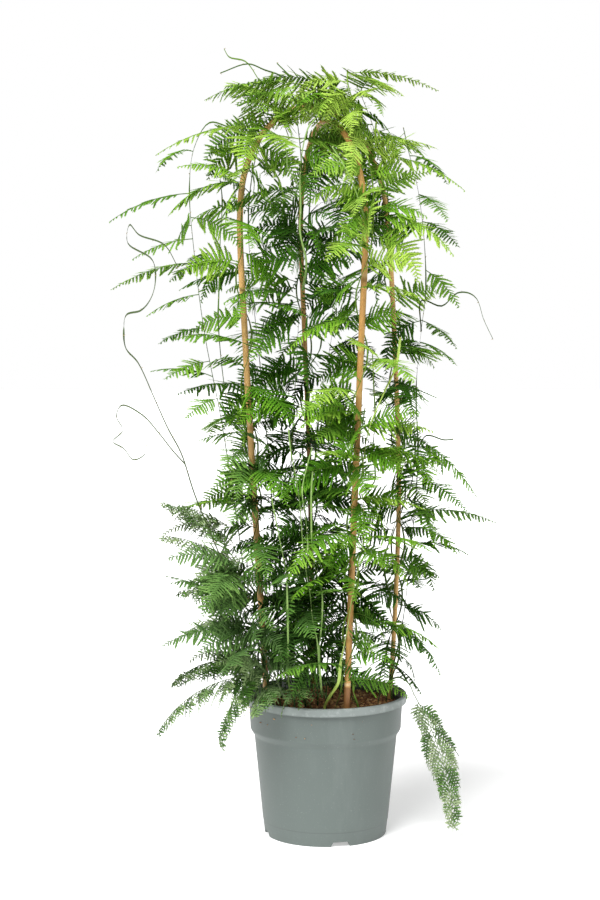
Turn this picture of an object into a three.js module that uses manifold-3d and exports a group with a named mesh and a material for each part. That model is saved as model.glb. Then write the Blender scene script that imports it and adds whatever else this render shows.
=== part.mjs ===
// A climbing asparagus fern on two crossing bamboo hoops in a plastic nursery pot.
// Millimetres, +Z up, +X to the right, -Y to the front, origin at the middle of the pot's foot.
import * as THREE from 'three';
import { mergeVertices } from 'three/addons/utils/BufferGeometryUtils.js';
import Module from 'manifold-3d';

const wasm = await Module();
wasm.setup();

// Pot
const potSides = 30;
const rimRadius = 120;
const rimHeight = 210;
const rimDrop = 12;
const bandTopRadius = 113.6;
const bandFootRadius = 111.5;
const bandFootHeight = 158;
const shoulderRadius = 105.7;
const shoulderHeight = 149;
const ringRadius = 92.4;
const ringHeight = 20;
const footRadius = 90;
const footWidth = 6;
const footHeight = 7;
const padRadius = 22;
const padSlope = 2;
const lipEdge = 1.5;
const floorTop = 10;
const wall = 2.8;
const notchAngles = [-76.4, 13.6, 103.6, 193.6];
const notchFoot = 31;
const notchTop = 22;
const notchDepth = 20;
const drainSides = 8;
const drainRadius = 6;
const drainReach = 68;

// Soil
const soilTop = 196;
const soilLump = 2.4;
const soilGap = 0.5;
const soilDip = 5;
const lumpRadii = [94, 60];

// Canes of the hoops
const caneSides = 6;
const caneSteps = 32;
const caneFoot = 162;
const buttRadius = 5.4;
const thinRadius = 3.9;

// Stems
const footDepth = 20;
const footRise = 10;
const stemSides = 3;
const twineStep = 25;
const twinePitch = 160;
const freeSteps = 2;
const twineGap = 2.1;
const stemRadii = [2.4, 1.6];
const tendrilRadii = [1.5, 1];
const holeGap = 2.2;
const caneHoleGap = 3.3;
const holeFloorGap = 0.5;

// Blades of the sprays
const bladeThickness = 1.5;
const ribHalfWidth = 1.2;
const rootScale = 0.45;
const petioleEnd = 0.14;
const bladeEnd = 0.95;
const widestAt = 0.27;
const leafletSlant = 0.5;
const leafletArch = 0.3;
const firstReach = 0.62;
const taperPower = 0.85;
const fewestPairs = 4;
const pairSpacing = 25;
const clearance = 1.1;
const tries = 20;
const tryTurn = 8;
const tryLift = 5;
const tryShorten = 0.03;

// Ranges in degrees that the sprays of a tier are drawn from
const tierRise = [2, 30];
const tierDroop = [32, 72];
const tierRoll = [-26, 26];
const tipRoll = [-24, 24];

const tones = {
  lime: { color: 0x8fbf3c, roughness: 0.6 },
  bright: { color: 0x5fa32e, roughness: 0.62 },
  mid: { color: 0x3f8131, roughness: 0.65 },
  dark: { color: 0x2a5c2a, roughness: 0.68 },
  grey: { color: 0x7f9a80, roughness: 0.75 },
};
const potFinish = { color: 0x7e8a93, roughness: 0.55 };
const soilFinish = { color: 0x5a3a24, roughness: 0.95 };
const caneFinish = { color: 0xb98a4e, roughness: 0.5 };

// The hoops: points of each leg from the foot to the shoulder, and the top between two shoulders.
const hoopLegs = {
  left: [[-84, -28, caneFoot], [-95, -30, 345], [-106, -32, 530], [-117, -34, 730], [-124, -35, 921]],
  right: [[94, 22, caneFoot], [104, 32, 330], [109, 38, 510], [103, 39, 700], [93, 33, 872]],
  front: [[28, -88, caneFoot], [34, -92, 340], [41, -95, 530], [48, -97, 715], [54, -99, 900]],
  back: [[-17, 88, caneFoot], [-20, 91, 340], [-24, 95, 545], [-31, 97, 730], [-37, 97, 900]],
};
const hoops = [
  { name: 'hoop_left_to_right', legs: ['left', 'right'], apex: [-24, -8, 1069] },
  { name: 'hoop_front_to_back', legs: ['front', 'back'], apex: [-2, 0, 1048] },
];
const archSteps = 4;

// Leafy stems. A stem rises from its foot in the soil, may climb round one leg of a hoop, and then
// goes on through hand-picked points. Tiers are sprays set along it by rule. Each row of tips is a
// spray that reaches for one place: height of its root, tip point, droop in degrees, half-width.
const leafyStems = [
  {
    name: 'stem_left_cane_low',
    tone: 'mid',
    foot: [-94, -12],
    climb: { leg: 'left', from: 228, to: 590, start: 106 },
    onward: [[-124, -40, 622]],
    tiers: { count: 7, from: 262, to: 616, facing: 205, fan: 95,
      length: [110, 150], halfWidth: [34, 47] },
    tips: [[600, [-218, -50, 589], 22, 26]],
  },
  {
    name: 'stem_left_cane_high',
    tone: 'bright',
    foot: [-78, -46],
    climb: { leg: 'left', from: 228, to: 861, start: -74 },
    onward: [[-122, -47, 905], [-120, -47, 950], [-112, -46, 990], [-97, -44, 1028], [-84, -42, 1058],
      [-87, -40, 1085], [-100, -38, 1111],
      [-116, -37, 1132], [-139, -40, 1138], [-146, -42, 1149]],
    tiers: { count: 11, from: 490, to: 1078, facing: 215, fan: 110,
      length: [110, 150], halfWidth: [34, 47] },
    tips: [[1040, [-244, -60, 998], 40, 30]],
  },
  {
    name: 'stem_left_outer',
    tone: 'mid',
    foot: [-90, -46],
    onward: [[-110, -58, 300], [-122, -56, 420], [-134, -50, 505], [-152, -42, 620], [-176, -36, 745],
      [-191, -32, 865], [-197, -30, 950], [-190, -28, 1010], [-168, -24, 1046], [-140, -18, 1040]],
    tiers: { count: 4, from: 520, to: 1005, facing: 120, fan: 80,
      length: [85, 115], halfWidth: [22, 32] },
    tips: [[945, [-311, -50, 904], 34, 28], [880, [-280, -70, 838], 30, 22],
      [846, [-312, -20, 806], 30, 26],
      [800, [-257, -80, 770], 30, 22], [752, [-243, -20, 728], 30, 22], [704, [-232, -70, 680], 26, 22],
      [650, [-200, -90, 626], 30, 24]],
  },
  {
    name: 'stem_left_behind',
    tone: 'dark',
    foot: [-66, 22],
    onward: [[-70, 30, 300], [-78, 40, 460], [-92, 50, 640], [-108, 56, 800], [-114, 54, 920],
      [-100, 46, 1010], [-74, 34, 1066], [-60, 30, 1096]],
    tiers: { count: 9, from: 400, to: 1085, facing: 140, fan: 120,
      length: [112, 155], halfWidth: [36, 48] },
    tips: [],
  },
  {
    name: 'stem_right_cane_low',
    tone: 'mid',
    foot: [92, 44],
    climb: { leg: 'right', from: 228, to: 640, start: 93 },
    onward: [[116, 26, 672]],
    tiers: { count: 7, from: 285, to: 664, facing: -20, fan: 120,
      length: [110, 150], halfWidth: [34, 47] },
    tips: [],
  },
  {
    name: 'stem_right_cane_high',
    tone: 'bright',
    foot: [98, 8],
    climb: { leg: 'right', from: 228, to: 867, start: -87 },
    onward: [[92, 19, 908], [88, 14, 960], [79, 10, 1005], [67, 8, 1045], [54, 6, 1078], [44, 4, 1100]],
    tiers: { count: 11, from: 450, to: 1090, facing: 0, fan: 120,
      length: [110, 150], halfWidth: [34, 47] },
    tips: [[1000, [216, 10, 929], 40, 32]],
  },
  {
    name: 'stem_right_outer',
    tone: 'mid',
    foot: [90, -6],
    onward: [[112, 8, 300], [126, 12, 420], [136, 16, 560], [133, 20, 660], [140, 20, 745],
      [146, 18, 800],
      [144, 16, 870], [134, 14, 950], [120, 12, 1006], [112, 8, 1040]],
    tiers: { count: 3, from: 430, to: 1000, facing: 60, fan: 90,
      length: [80, 110], halfWidth: [22, 30] },
    tips: [[944, [172, -70, 905], 36, 24], [905, [196, 60, 868], 36, 26],
      [834, [193, -10, 780], 34, 26],
      [760, [196, 70, 716], 30, 24], [728, [186, -60, 700], 30, 22], [585, [223, 10, 500], 30, 28],
      [530, [204, -40, 486], 30, 22], [500, [157, -70, 440], 34, 24], [420, [162, 40, 356], 36, 26]],
  },
  {
    name: 'stem_front_cane_low',
    tone: 'bright',
    foot: [14, -84],
    climb: { leg: 'front', from: 228, to: 610, start: 160 },
    onward: [[54, -112, 642]],
    tiers: { count: 7, from: 268, to: 634, facing: -90, fan: 115,
      length: [110, 150], halfWidth: [34, 47] },
    tips: [],
  },
  {
    name: 'stem_front_cane_high',
    tone: 'lime',
    foot: [46, -84],
    climb: { leg: 'front', from: 228, to: 877, start: -20 },
    onward: [[66, -92, 922], [64, -80, 965], [56, -66, 1005], [46, -50, 1040], [38, -38, 1074],
      [30, -28, 1104],
      [30, -24, 1120]],
    tiers: { count: 14, from: 460, to: 1112, facing: -85, fan: 125,
      length: [100, 140], halfWidth: [30, 42] },
    tips: [[1116, [161, -20, 1091], 34, 17]],
  },
  {
    name: 'stem_back_cane_low',
    tone: 'dark',
    foot: [-34, 86],
    climb: { leg: 'back', from: 228, to: 600, start: 153 },
    onward: [[-24, 78, 632]],
    tiers: { count: 6, from: 290, to: 622, facing: 90, fan: 150,
      length: [112, 155], halfWidth: [36, 48] },
    tips: [],
  },
  {
    name: 'stem_back_cane_high',
    tone: 'mid',
    foot: [-2, 82],
    climb: { leg: 'back', from: 228, to: 880, start: -27 },
    onward: [[-24, 94, 922], [-20, 84, 965], [-8, 66, 1005], [4, 46, 1040], [10, 30, 1075],
      [6, 24, 1104]],
    tiers: { count: 10, from: 460, to: 1098, facing: 90, fan: 150,
      length: [112, 155], halfWidth: [36, 48] },
    tips: [],
  },
  {
    name: 'stem_middle_left',
    tone: 'mid',
    foot: [-12, -30],
    onward: [[-12, -32, 290], [-24, -36, 370], [-36, -40, 460], [-50, -42, 550], [-46, -40, 650],
      [-40, -38, 760], [-34, -38, 855], [-40, -38, 920], [-36, -40, 985], [-42, -44, 1050],
      [-47, -44, 1102], [-71, -46, 1129]],
    tiers: { count: 11, from: 330, to: 1100, facing: -110, fan: 125,
      length: [110, 150], halfWidth: [34, 47] },
    tips: [],
  },
  {
    name: 'stem_middle_right',
    tone: 'dark',
    foot: [10, 14],
    onward: [[8, 12, 300], [-14, 10, 420], [-26, 8, 520], [-8, 10, 640], [12, 12, 760], [26, 12, 880],
      [30, 10, 980], [40, 6, 1050], [30, 12, 1100]],
    tiers: { count: 11, from: 350, to: 1085, facing: 20, fan: 160,
      length: [110, 150], halfWidth: [34, 47] },
    tips: [],
  },
  {
    name: 'spray_left_over_rim',
    tone: 'grey',
    foot: [-66, -68],
    onward: [[-76, -76, 240], [-98, -84, 268], [-126, -86, 276]],
    tiers: { count: 0 },
    tips: [[250, [-246, -95, 166], 70, 40], [262, [-206, -130, 160], 70, 36],
      [274, [-184, -60, 186], 60, 34],
      [276, [-226, -50, 232], 46, 38], [236, [-150, -150, 226], 50, 34]],
  },
  {
    name: 'spray_left_low',
    tone: 'dark',
    foot: [-80, -60],
    onward: [[-98, -84, 300], [-112, -92, 360], [-130, -94, 420]],
    tiers: { count: 0 },
    tips: [[318, [-236, -110, 300], 44, 40], [346, [-235, -70, 396], 26, 36],
      [372, [-228, -130, 372], 34, 36],
      [404, [-176, -190, 380], 40, 36], [420, [-205, -60, 470], 24, 32], [300, [-150, -190, 268], 40, 38]],
  },
  {
    name: 'spray_left_grey',
    tone: 'grey',
    foot: [-92, 6],
    onward: [[-108, 4, 300], [-128, 0, 400], [-146, -4, 462]],
    tiers: { count: 0 },
    tips: [[402, [-244, -20, 448], 30, 34], [436, [-244, 20, 512], 24, 36],
      [460, [-222, -50, 500], 20, 34],
      [360, [-222, 50, 352], 34, 36], [320, [-208, 0, 300], 40, 36]],
  },
  {
    name: 'spray_front_star',
    tone: 'grey',
    foot: [-46, -74],
    onward: [[-45, -78, 230], [-44, -82, 252]],
    tiers: { count: 0 },
    tips: [[210, [-106, -102, 242], 40, 18], [218, [26, -102, 238], 40, 18],
      [226, [-78, -150, 232], 40, 18],
      [234, [-8, -146, 226], 40, 18], [242, [-100, -70, 288], 24, 16], [250, [-4, -84, 292], 24, 16]],
  },
  {
    name: 'spray_front_low_left',
    tone: 'dark',
    foot: [-30, -52],
    onward: [[-34, -58, 290], [-44, -66, 350], [-56, -72, 400]],
    tiers: { count: 0 },
    tips: [[320, [-118, -150, 300], 44, 38], [350, [-20, -170, 322], 44, 38],
      [380, [-120, -120, 392], 30, 36],
      [396, [-52, -178, 378], 36, 36], [300, [-66, -150, 262], 40, 34]],
  },
  {
    name: 'spray_front_low_right',
    tone: 'mid',
    foot: [0, -56],
    onward: [[2, -60, 270], [8, -64, 330], [10, -66, 384]],
    tiers: { count: 0 },
    tips: [[290, [58, -160, 270], 40, 34], [330, [92, -120, 330], 34, 34],
      [360, [16, -182, 370], 36, 36],
      [380, [84, -140, 410], 24, 34]],
  },
  {
    name: 'spray_right_low',
    tone: 'dark',
    foot: [80, 60],
    onward: [[98, 70, 280], [112, 72, 340], [118, 70, 392]],
    tiers: { count: 0 },
    tips: [[300, [164, 0, 232], 50, 30], [330, [176, 80, 290], 44, 34], [366, [150, 150, 340], 40, 34],
      [388, [182, 50, 352], 40, 32]],
  },
  {
    name: 'spray_right_over_rim',
    tone: 'grey',
    foot: [78, -22],
    onward: [[88, -28, 228], [106, -36, 240], [121, -42, 232], [129, -46, 216]],
    tiers: { count: 0 },
    tips: [[1, [186, -58, 14], 30, 46, 90]],
  },
];

// Bare young shoots: points of each shoot, then the points of its branches.
const bareShoots = [
  {
    name: 'shoot_front_young',
    finish: { color: 0xa9c248, roughness: 0.5 },
    radii: [2.6, 1.6],
    foot: [-2, -82],
    onward: [[6, -90, 224], [17, -104, 246], [20, -112, 275], [29, -116, 322], [38, -118, 382],
      [50, -120, 441],
      [53, -121, 487], [50, -121, 524], [53, -121, 577], [60, -120, 615], [80, -116, 663], [98, -108, 702],
      [104, -100, 740]],
    branches: [],
  },
  {
    name: 'shoot_left_bare',
    finish: { color: 0x4c5a33, roughness: 0.5 },
    radii: [1.9, 1.1],
    foot: [-56, -88],
    onward: [[-72, -104, 250], [-112, -112, 340], [-152, -106, 430], [-188, -92, 515], [-208, -84, 575],
      [-227, -78, 610], [-246, -74, 652], [-270, -70, 704], [-287, -68, 724], [-290, -66, 751],
      [-286, -66, 772], [-266, -64, 778], [-253, -64, 792], [-245, -62, 817], [-249, -60, 850],
      [-284, -58, 874], [-281, -58, 900], [-268, -60, 886], [-232, -64, 872], [-212, -68, 840]],
    branches: [
      [[-203, -86, 560], [-220, -92, 580], [-240, -94, 606], [-262, -92, 630], [-292, -88, 644],
        [-300, -86, 628], [-291, -86, 608], [-305, -86, 592], [-290, -86, 582], [-276, -88, 566],
        [-260, -90, 574], [-257, -90, 588]],
    ],
  },
];

// Bare tendrils that grow out of a leafy stem.
const tendrils = {
  stem_right_outer: [
    [[140, 20, 745], [140, 14, 790], [169, 5, 782], [191, 0, 801], [208, 0, 801], [220, 0, 792],
      [230, 2, 763], [244, 4, 734]],
    [[135, 17, 570], [148, 6, 592], [173, 2, 586], [187, 0, 587]],
  ],
  stem_middle_left: [
    [[-45, -44, 1075], [-62, -52, 1108], [-89, -56, 1119], [-112, -58, 1127], [-151, -60, 1114]],
  ],
};

// Helpers
const radians = THREE.MathUtils.degToRad;
const mix = THREE.MathUtils.lerp;
const point = ([x, y, z]) => new THREE.Vector3(x, y, z);

// A smooth curve whose steps follow its points and not its length, so that a bend with many points
// gets short steps.
class PacedCurve extends THREE.CatmullRomCurve3 {
  getPointAt(place, target) {
    return this.getPoint(place, target);
  }

  getTangentAt(place, target) {
    return this.getTangent(place, target);
  }
}

const curveThrough = (points) => new PacedCurve(points.map(point));

// A repeatable draw from 0 to 1 for any three whole numbers.
function chance(a, b, c) {
  let h = Math.imul(a + 1, 0x9e3779b1) ^ Math.imul(b + 1, 0x85ebca6b) ^ Math.imul(c + 1, 0xc2b2ae35);
  h = Math.imul(h ^ (h >>> 15), 0x2c1b3c6d);
  h = Math.imul(h ^ (h >>> 12), 0x297a2d39);
  return ((h ^ (h >>> 15)) >>> 0) / 4294967296;
}

function solidOf(geometry) {
  const bare = geometry.clone();
  bare.deleteAttribute('normal');
  bare.deleteAttribute('uv');
  const merged = mergeVertices(bare, 1e-3);
  return new wasm.Manifold(new wasm.Mesh({
    numProp: 3,
    vertProperties: new Float32Array(merged.attributes.position.array),
    triVerts: new Uint32Array(merged.index.array),
  }));
}

function geometryOf(solid) {
  const mesh = solid.getMesh();
  const geometry = new THREE.BufferGeometry();
  geometry.setAttribute('position', new THREE.BufferAttribute(mesh.vertProperties, 3));
  geometry.setIndex(new THREE.BufferAttribute(mesh.triVerts, 1));
  geometry.computeVertexNormals();
  return geometry;
}

// The place along a curve where it passes a height. A number up to 1 is such a place itself.
function placeAtHeight(curve, height) {
  if (height <= 1) return height;
  const rising = curve.getPoint(1).z > curve.getPoint(0).z;
  let low = 0;
  let high = 1;
  for (let i = 0; i < 40; i += 1) {
    const middle = (low + high) / 2;
    if ((curve.getPoint(middle).z < height) === rising) low = middle;
    else high = middle;
  }
  return (low + high) / 2;
}

// A round-turned body from a profile of radius and height points.
function turned(profile, sides) {
  const geometry = new THREE.LatheGeometry(profile.map(([r, z]) => new THREE.Vector2(r, z)), sides);
  return geometry.rotateX(Math.PI / 2);
}

// A tube along a curve with a few sides, thinner towards its far end.
function tapered(curve, sides, steps, fromRadius, toRadius) {
  const section = new THREE.Shape();
  for (let i = 0; i < sides; i += 1) {
    const angle = 2 * Math.PI * i / sides;
    if (i === 0) section.moveTo(fromRadius, 0);
    else section.lineTo(fromRadius * Math.cos(angle), fromRadius * Math.sin(angle));
  }
  const geometry = new THREE.ExtrudeGeometry(section, { steps, extrudePath: curve });
  const stations = curve.getSpacedPoints(steps);
  const places = geometry.attributes.position;
  const place = new THREE.Vector3();
  for (let i = 0; i < places.count; i += 1) {
    place.fromBufferAttribute(places, i);
    let nearest = 0;
    stations.forEach((station, j) => {
      if (place.distanceTo(station) < place.distanceTo(stations[nearest]) - 1e-6) nearest = j;
    });
    const scale = mix(1, toRadius / fromRadius, nearest / steps);
    place.sub(stations[nearest]).multiplyScalar(scale).add(stations[nearest]);
    places.setXYZ(i, place.x, place.y, place.z);
  }
  return geometry;
}

// A thin bare tendril
function tendril(points) {
  return solidOf(tapered(curveThrough(points), stemSides, points.length - 1, ...tendrilRadii));
}

// Pot
function potProfile() {
  return [
    [0, 0], [padRadius, 0], [padRadius + padSlope, footHeight],
    [footRadius - footWidth - padSlope, footHeight],
    [footRadius - footWidth, 0], [footRadius, 0], [ringRadius, ringHeight],
    [shoulderRadius, shoulderHeight], [bandFootRadius, bandFootHeight],
    [bandTopRadius, rimHeight - rimDrop - 1], [rimRadius - 0.4, rimHeight - rimDrop],
    [rimRadius, rimHeight - lipEdge], [rimRadius - lipEdge, rimHeight],
    [bandTopRadius + lipEdge, rimHeight],
    [bandTopRadius - wall, rimHeight - rimDrop], [bandFootRadius - wall, bandFootHeight],
    [shoulderRadius - wall, shoulderHeight], [ringRadius - wall, floorTop], [0, floorTop],
  ];
}

function notch(angle) {
  const outline = new THREE.Shape();
  outline.moveTo(-notchFoot / 2, -1);
  outline.lineTo(notchFoot / 2, -1);
  outline.lineTo(notchTop / 2, footHeight);
  outline.lineTo(-notchTop / 2, footHeight);
  const cutter = new THREE.ExtrudeGeometry(outline, { depth: notchDepth, bevelEnabled: false });
  cutter.rotateX(Math.PI / 2).translate(0, notchDepth / 2, 0).rotateZ(Math.PI / 2);
  cutter.translate(footRadius - footWidth / 2, 0, 0).rotateZ(radians(angle));
  return solidOf(cutter);
}

function drain(angle) {
  const cutter = new THREE.CylinderGeometry(drainRadius, drainRadius, 3 * floorTop, drainSides);
  cutter.rotateX(Math.PI / 2).translate(drainReach, 0, 0).rotateZ(radians(angle));
  return solidOf(cutter);
}

function makePot() {
  let pot = solidOf(turned(potProfile(), potSides));
  notchAngles.forEach((angle) => {
    pot = pot.subtract(notch(angle)).subtract(drain(angle));
  });
  return pot;
}

// Soil, with a lumpy top and a plain hole for each foot
function soilHeight(x, y) {
  const coarse = Math.sin(0.083 * x + 0.6) * Math.cos(0.071 * y - 0.4);
  const fine = Math.sin(0.19 * x - 0.13 * y + 1.1);
  return soilTop + soilLump * (0.6 * coarse + 0.4 * fine);
}

function makeSoil(feet) {
  const skin = wall + soilGap;
  const profile = [
    [0, floorTop + soilGap], [ringRadius - skin, floorTop + soilGap],
    [shoulderRadius - skin, shoulderHeight], [bandFootRadius - skin, bandFootHeight],
    [bandTopRadius - skin - soilGap, soilTop - soilDip], ...lumpRadii.map((r) => [r, soilTop]),
    [0, soilTop],
  ];
  const geometry = turned(profile, potSides);
  const places = geometry.attributes.position;
  for (let i = 0; i < places.count; i += 1) {
    if (places.getZ(i) > soilTop - 1) places.setZ(i, soilHeight(places.getX(i), places.getY(i)));
  }
  let soil = solidOf(geometry);
  feet.forEach(([x, y, bottom, half]) => {
    const top = soilTop + 3 * soilLump;
    const cutter = new THREE.BoxGeometry(2 * half, 2 * half, top - bottom);
    soil = soil.subtract(solidOf(cutter.translate(x, y, (top + bottom) / 2)));
  });
  return soil;
}

// Hoops
function hoopCurve({ legs, apex }) {
  const [near, far] = legs.map((leg) => hoopLegs[leg]);
  const arch = (leg) => {
    const [x, y, z] = leg[leg.length - 1];
    return Array.from({ length: archSteps - 1 }, (_, i) => {
      const angle = Math.PI / 2 * (i + 1) / archSteps;
      const outward = Math.cos(angle);
      return [mix(apex[0], x, outward), mix(apex[1], y, outward), mix(z, apex[2], Math.sin(angle))];
    });
  };
  return curveThrough([...near, ...arch(near), apex, ...arch(far).reverse(), ...[...far].reverse()]);
}

function makeHoop(hoop) {
  return solidOf(tapered(hoopCurve(hoop), caneSides, caneSteps, buttRadius, thinRadius));
}

// Points of a stem that winds round one leg of a hoop
function twine({ leg, from, to, start }) {
  const cane = curveThrough(hoopLegs[leg]);
  const reach = buttRadius + twineGap + stemRadii[0];
  const count = Math.round((to - from) / twineStep);
  return Array.from({ length: count + 1 }, (_, i) => {
    const height = mix(from, to, i / count);
    const centre = cane.getPoint(placeAtHeight(cane, height));
    const angle = radians(start) + 2 * Math.PI * (height - from) / twinePitch;
    return [centre.x + reach * Math.cos(angle), centre.y + reach * Math.sin(angle), height];
  });
}

function stemPoints({ foot: [x, y], climb, onward }) {
  const rise = [[x, y, soilTop - footDepth], [x, y, soilTop + footRise]];
  return [...rise, ...(climb ? twine(climb) : []), ...onward];
}

// Sprays: each is one flat blade that droops along its rib, with leaflets cut to the rib.
function tierSprays(stem, index) {
  const { count, from, to, facing, fan, length, halfWidth } = stem.tiers;
  return Array.from({ length: count }, (_, i) => {
    const draw = (n) => chance(index, i, n);
    const side = i % 2 ? 1 : -1;
    const high = count > 1 ? i / (count - 1) : 0;
    return {
      height: mix(from, to, high),
      azimuth: facing + side * fan * mix(0.2, 1, draw(0)),
      rise: mix(...tierRise, draw(1)),
      droop: mix(...tierDroop, draw(2)),
      length: mix(length[0], length[1], draw(3)),
      halfWidth: mix(halfWidth[0], halfWidth[1], draw(4)),
      roll: mix(...tierRoll, draw(5)),
    };
  });
}

function tipSprays(stem, index, curve) {
  return stem.tips.map(([height, tip, droop, halfWidth, roll], i) => {
    const root = curve.getPoint(placeAtHeight(curve, height));
    const reach = point(tip).sub(root);
    const bow = radians(droop) / 2;
    return {
      height,
      azimuth: THREE.MathUtils.radToDeg(Math.atan2(reach.y, reach.x)),
      rise: THREE.MathUtils.radToDeg(Math.asin(reach.z / reach.length())) + droop / 2,
      droop,
      length: reach.length() * bow / Math.sin(bow),
      halfWidth,
      roll: roll ?? mix(...tipRoll, chance(index, i, 9)),
    };
  });
}

// A try turns and lifts the spray a little, and after some tries shortens it.
function variant(spray, n) {
  const way = n % 2 ? 1 : -1;
  return {
    ...spray,
    azimuth: spray.azimuth + way * tryTurn * Math.ceil(n / 2),
    rise: spray.rise + tryLift * ((n * 2) % 5 - (n ? 2 : 0)),
    length: spray.length * (1 - tryShorten * n),
  };
}

function heading(spray, s) {
  const rise = radians(spray.rise - spray.droop * s);
  const azimuth = radians(spray.azimuth);
  const outward = new THREE.Vector3(Math.cos(azimuth), Math.sin(azimuth), 0);
  const along = outward.multiplyScalar(Math.cos(rise)).setZ(Math.sin(rise));
  const level = new THREE.Vector3(-Math.sin(azimuth), Math.cos(azimuth), 0);
  const across = level.applyAxisAngle(along, radians(spray.roll));
  return { along, across, up: new THREE.Vector3().crossVectors(along, across) };
}

// The rib's place at s from 0 at the root to 1 at the tip, along a circular droop.
function ribPlace(root, spray, s) {
  const half = radians(spray.droop) * s / 2;
  const chord = half > 1e-6 ? Math.sin(half) / half : 1;
  return heading(spray, s / 2).along.multiplyScalar(spray.length * s * chord).add(root);
}

function reachAt(s) {
  return s < widestAt
    ? mix(firstReach, 1, (s - petioleEnd) / (widestAt - petioleEnd))
    : ((1 - s) / (1 - widestAt)) ** taperPower;
}

// One spray as a closed solid. Grow makes it fatter all round, to test the room it needs, and
// start leaves out the bare part of the rib.
function makeSpray(root, spray, grow = 0, start = 0) {
  const pairs = Math.max(fewestPairs, Math.round(spray.length / pairSpacing));
  const half = ribHalfWidth + grow;
  const lift = bladeThickness / 2 + grow;
  const places = [];
  const faces = [];
  const add = (vector) => places.push(vector.x, vector.y, vector.z) / 3 - 1;
  const leafy = Array.from({ length: pairs + 1 }, (_, i) => mix(petioleEnd, bladeEnd, i / pairs));
  const stations = [start, ...leafy];
  const rings = stations.map((s) => {
    const { across, up } = heading(spray, s);
    const size = s === 0 ? rootScale : 1;
    const corner = (a, b) => add(ribPlace(root, spray, s)
      .addScaledVector(across, a * half * size).addScaledVector(up, b * lift * size));
    return { left: corner(1, 1), right: corner(-1, 1), keel: corner(0, -1) };
  });
  faces.push(rings[0].left, rings[0].keel, rings[0].right);
  rings.slice(1).forEach((next, i) => {
    const ring = rings[i];
    faces.push(ring.right, next.right, next.left, ring.right, next.left, ring.left);
    if (i === 0) {
      faces.push(ring.left, next.left, next.keel, ring.left, next.keel, ring.keel);
      faces.push(ring.right, ring.keel, next.keel, ring.right, next.keel, next.right);
      return;
    }
    const s = (stations[i] + stations[i + 1]) / 2;
    const { along, across, up } = heading(spray, s);
    const reach = spray.halfWidth * reachAt(s) + grow;
    [1, -1].forEach((side) => {
      const tip = add(ribPlace(root, spray, s).addScaledVector(across, side * reach)
        .addScaledVector(along, leafletSlant * reach).addScaledVector(up, -leafletArch * reach));
      const [a, b, c, d] = side > 0
        ? [ring.left, next.left, ring.keel, next.keel]
        : [next.right, ring.right, next.keel, ring.keel];
      faces.push(a, b, tip, d, c, tip, b, d, tip, c, a, tip);
    });
  });
  const last = rings[rings.length - 1];
  const tip = add(ribPlace(root, spray, 1 + grow / spray.length));
  faces.push(last.right, tip, last.left, last.left, tip, last.keel, last.keel, tip, last.right);
  const geometry = new THREE.BufferGeometry();
  geometry.setAttribute('position', new THREE.Float32BufferAttribute(places, 3));
  geometry.setIndex(faces);
  return solidOf(geometry);
}

// The space already taken, as solids with their boxes and what they belong to
const taken = [];

function claim(owner, solid) {
  const { min, max } = solid.boundingBox();
  taken.push({ owner, solid, min, max });
}

function isClear(solid, others) {
  const { min, max } = solid.boundingBox();
  return others.every((other) => {
    const apart = [0, 1, 2].some((i) => other.max[i] < min[i] || other.min[i] > max[i]);
    return apart || solid.intersect(other.solid).isEmpty();
  });
}

// Puts a spray where it is clear of every other node, and of its own stem's other sprays except
// at its root, or leaves it out.
function growSpray(stem, curve, spray) {
  const root = curve.getPoint(placeAtHeight(curve, spray.height));
  const strangers = taken.filter(({ owner }) => owner !== stem && owner !== stem.name);
  const sisters = taken.filter(({ owner }) => owner === stem);
  for (let n = 0; n < tries; n += 1) {
    const tried = variant(spray, n);
    const room = makeSpray(root, tried, clearance);
    const leafyRoom = makeSpray(root, tried, clearance / 2, petioleEnd / 2);
    if (isClear(room, strangers) && isClear(leafyRoom, sisters)) {
      const blade = makeSpray(root, tried);
      claim(stem, blade);
      return [blade];
    }
  }
  return [];
}

const group = new THREE.Group();

function place(name, solid, finish) {
  const mesh = new THREE.Mesh(geometryOf(solid), new THREE.MeshStandardMaterial(finish));
  mesh.name = name;
  group.add(mesh);
}

const stemCurves = leafyStems.map((stem) => curveThrough(stemPoints(stem)));
const feet = [
  ...Object.values(hoopLegs).map(([[x, y, z]]) => [x, y, z - holeFloorGap, buttRadius + caneHoleGap]),
  ...[...leafyStems, ...bareShoots].map(({ foot: [x, y] }) => (
    [x, y, soilTop - footDepth - holeFloorGap, stemRadii[0] + holeGap])),
];
const pot = makePot();
const soil = makeSoil(feet);
claim('pot', pot);
claim('soil', soil);
place('pot', pot, potFinish);
place('soil', soil, soilFinish);

hoops.forEach((hoop) => {
  const solid = makeHoop(hoop);
  claim(hoop.name, solid);
  place(hoop.name, solid, caneFinish);
});

bareShoots.forEach((shoot) => {
  const curve = curveThrough(stemPoints(shoot));
  let solid = solidOf(tapered(curve, stemSides, curve.points.length - 1, ...shoot.radii));
  shoot.branches.forEach((points) => {
    solid = solid.add(tendril(points));
  });
  claim(shoot.name, solid);
  place(shoot.name, solid, shoot.finish);
});

const stemSolids = leafyStems.map((stem, index) => {
  const curve = stemCurves[index];
  const spans = curve.points.length - 1;
  const steps = stem.climb ? spans : Math.round(freeSteps * spans);
  let solid = solidOf(tapered(curve, stemSides, steps, ...stemRadii));
  (tendrils[stem.name] ?? []).forEach((points) => {
    solid = solid.add(tendril(points));
  });
  claim(stem.name, solid);
  return solid;
});

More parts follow.
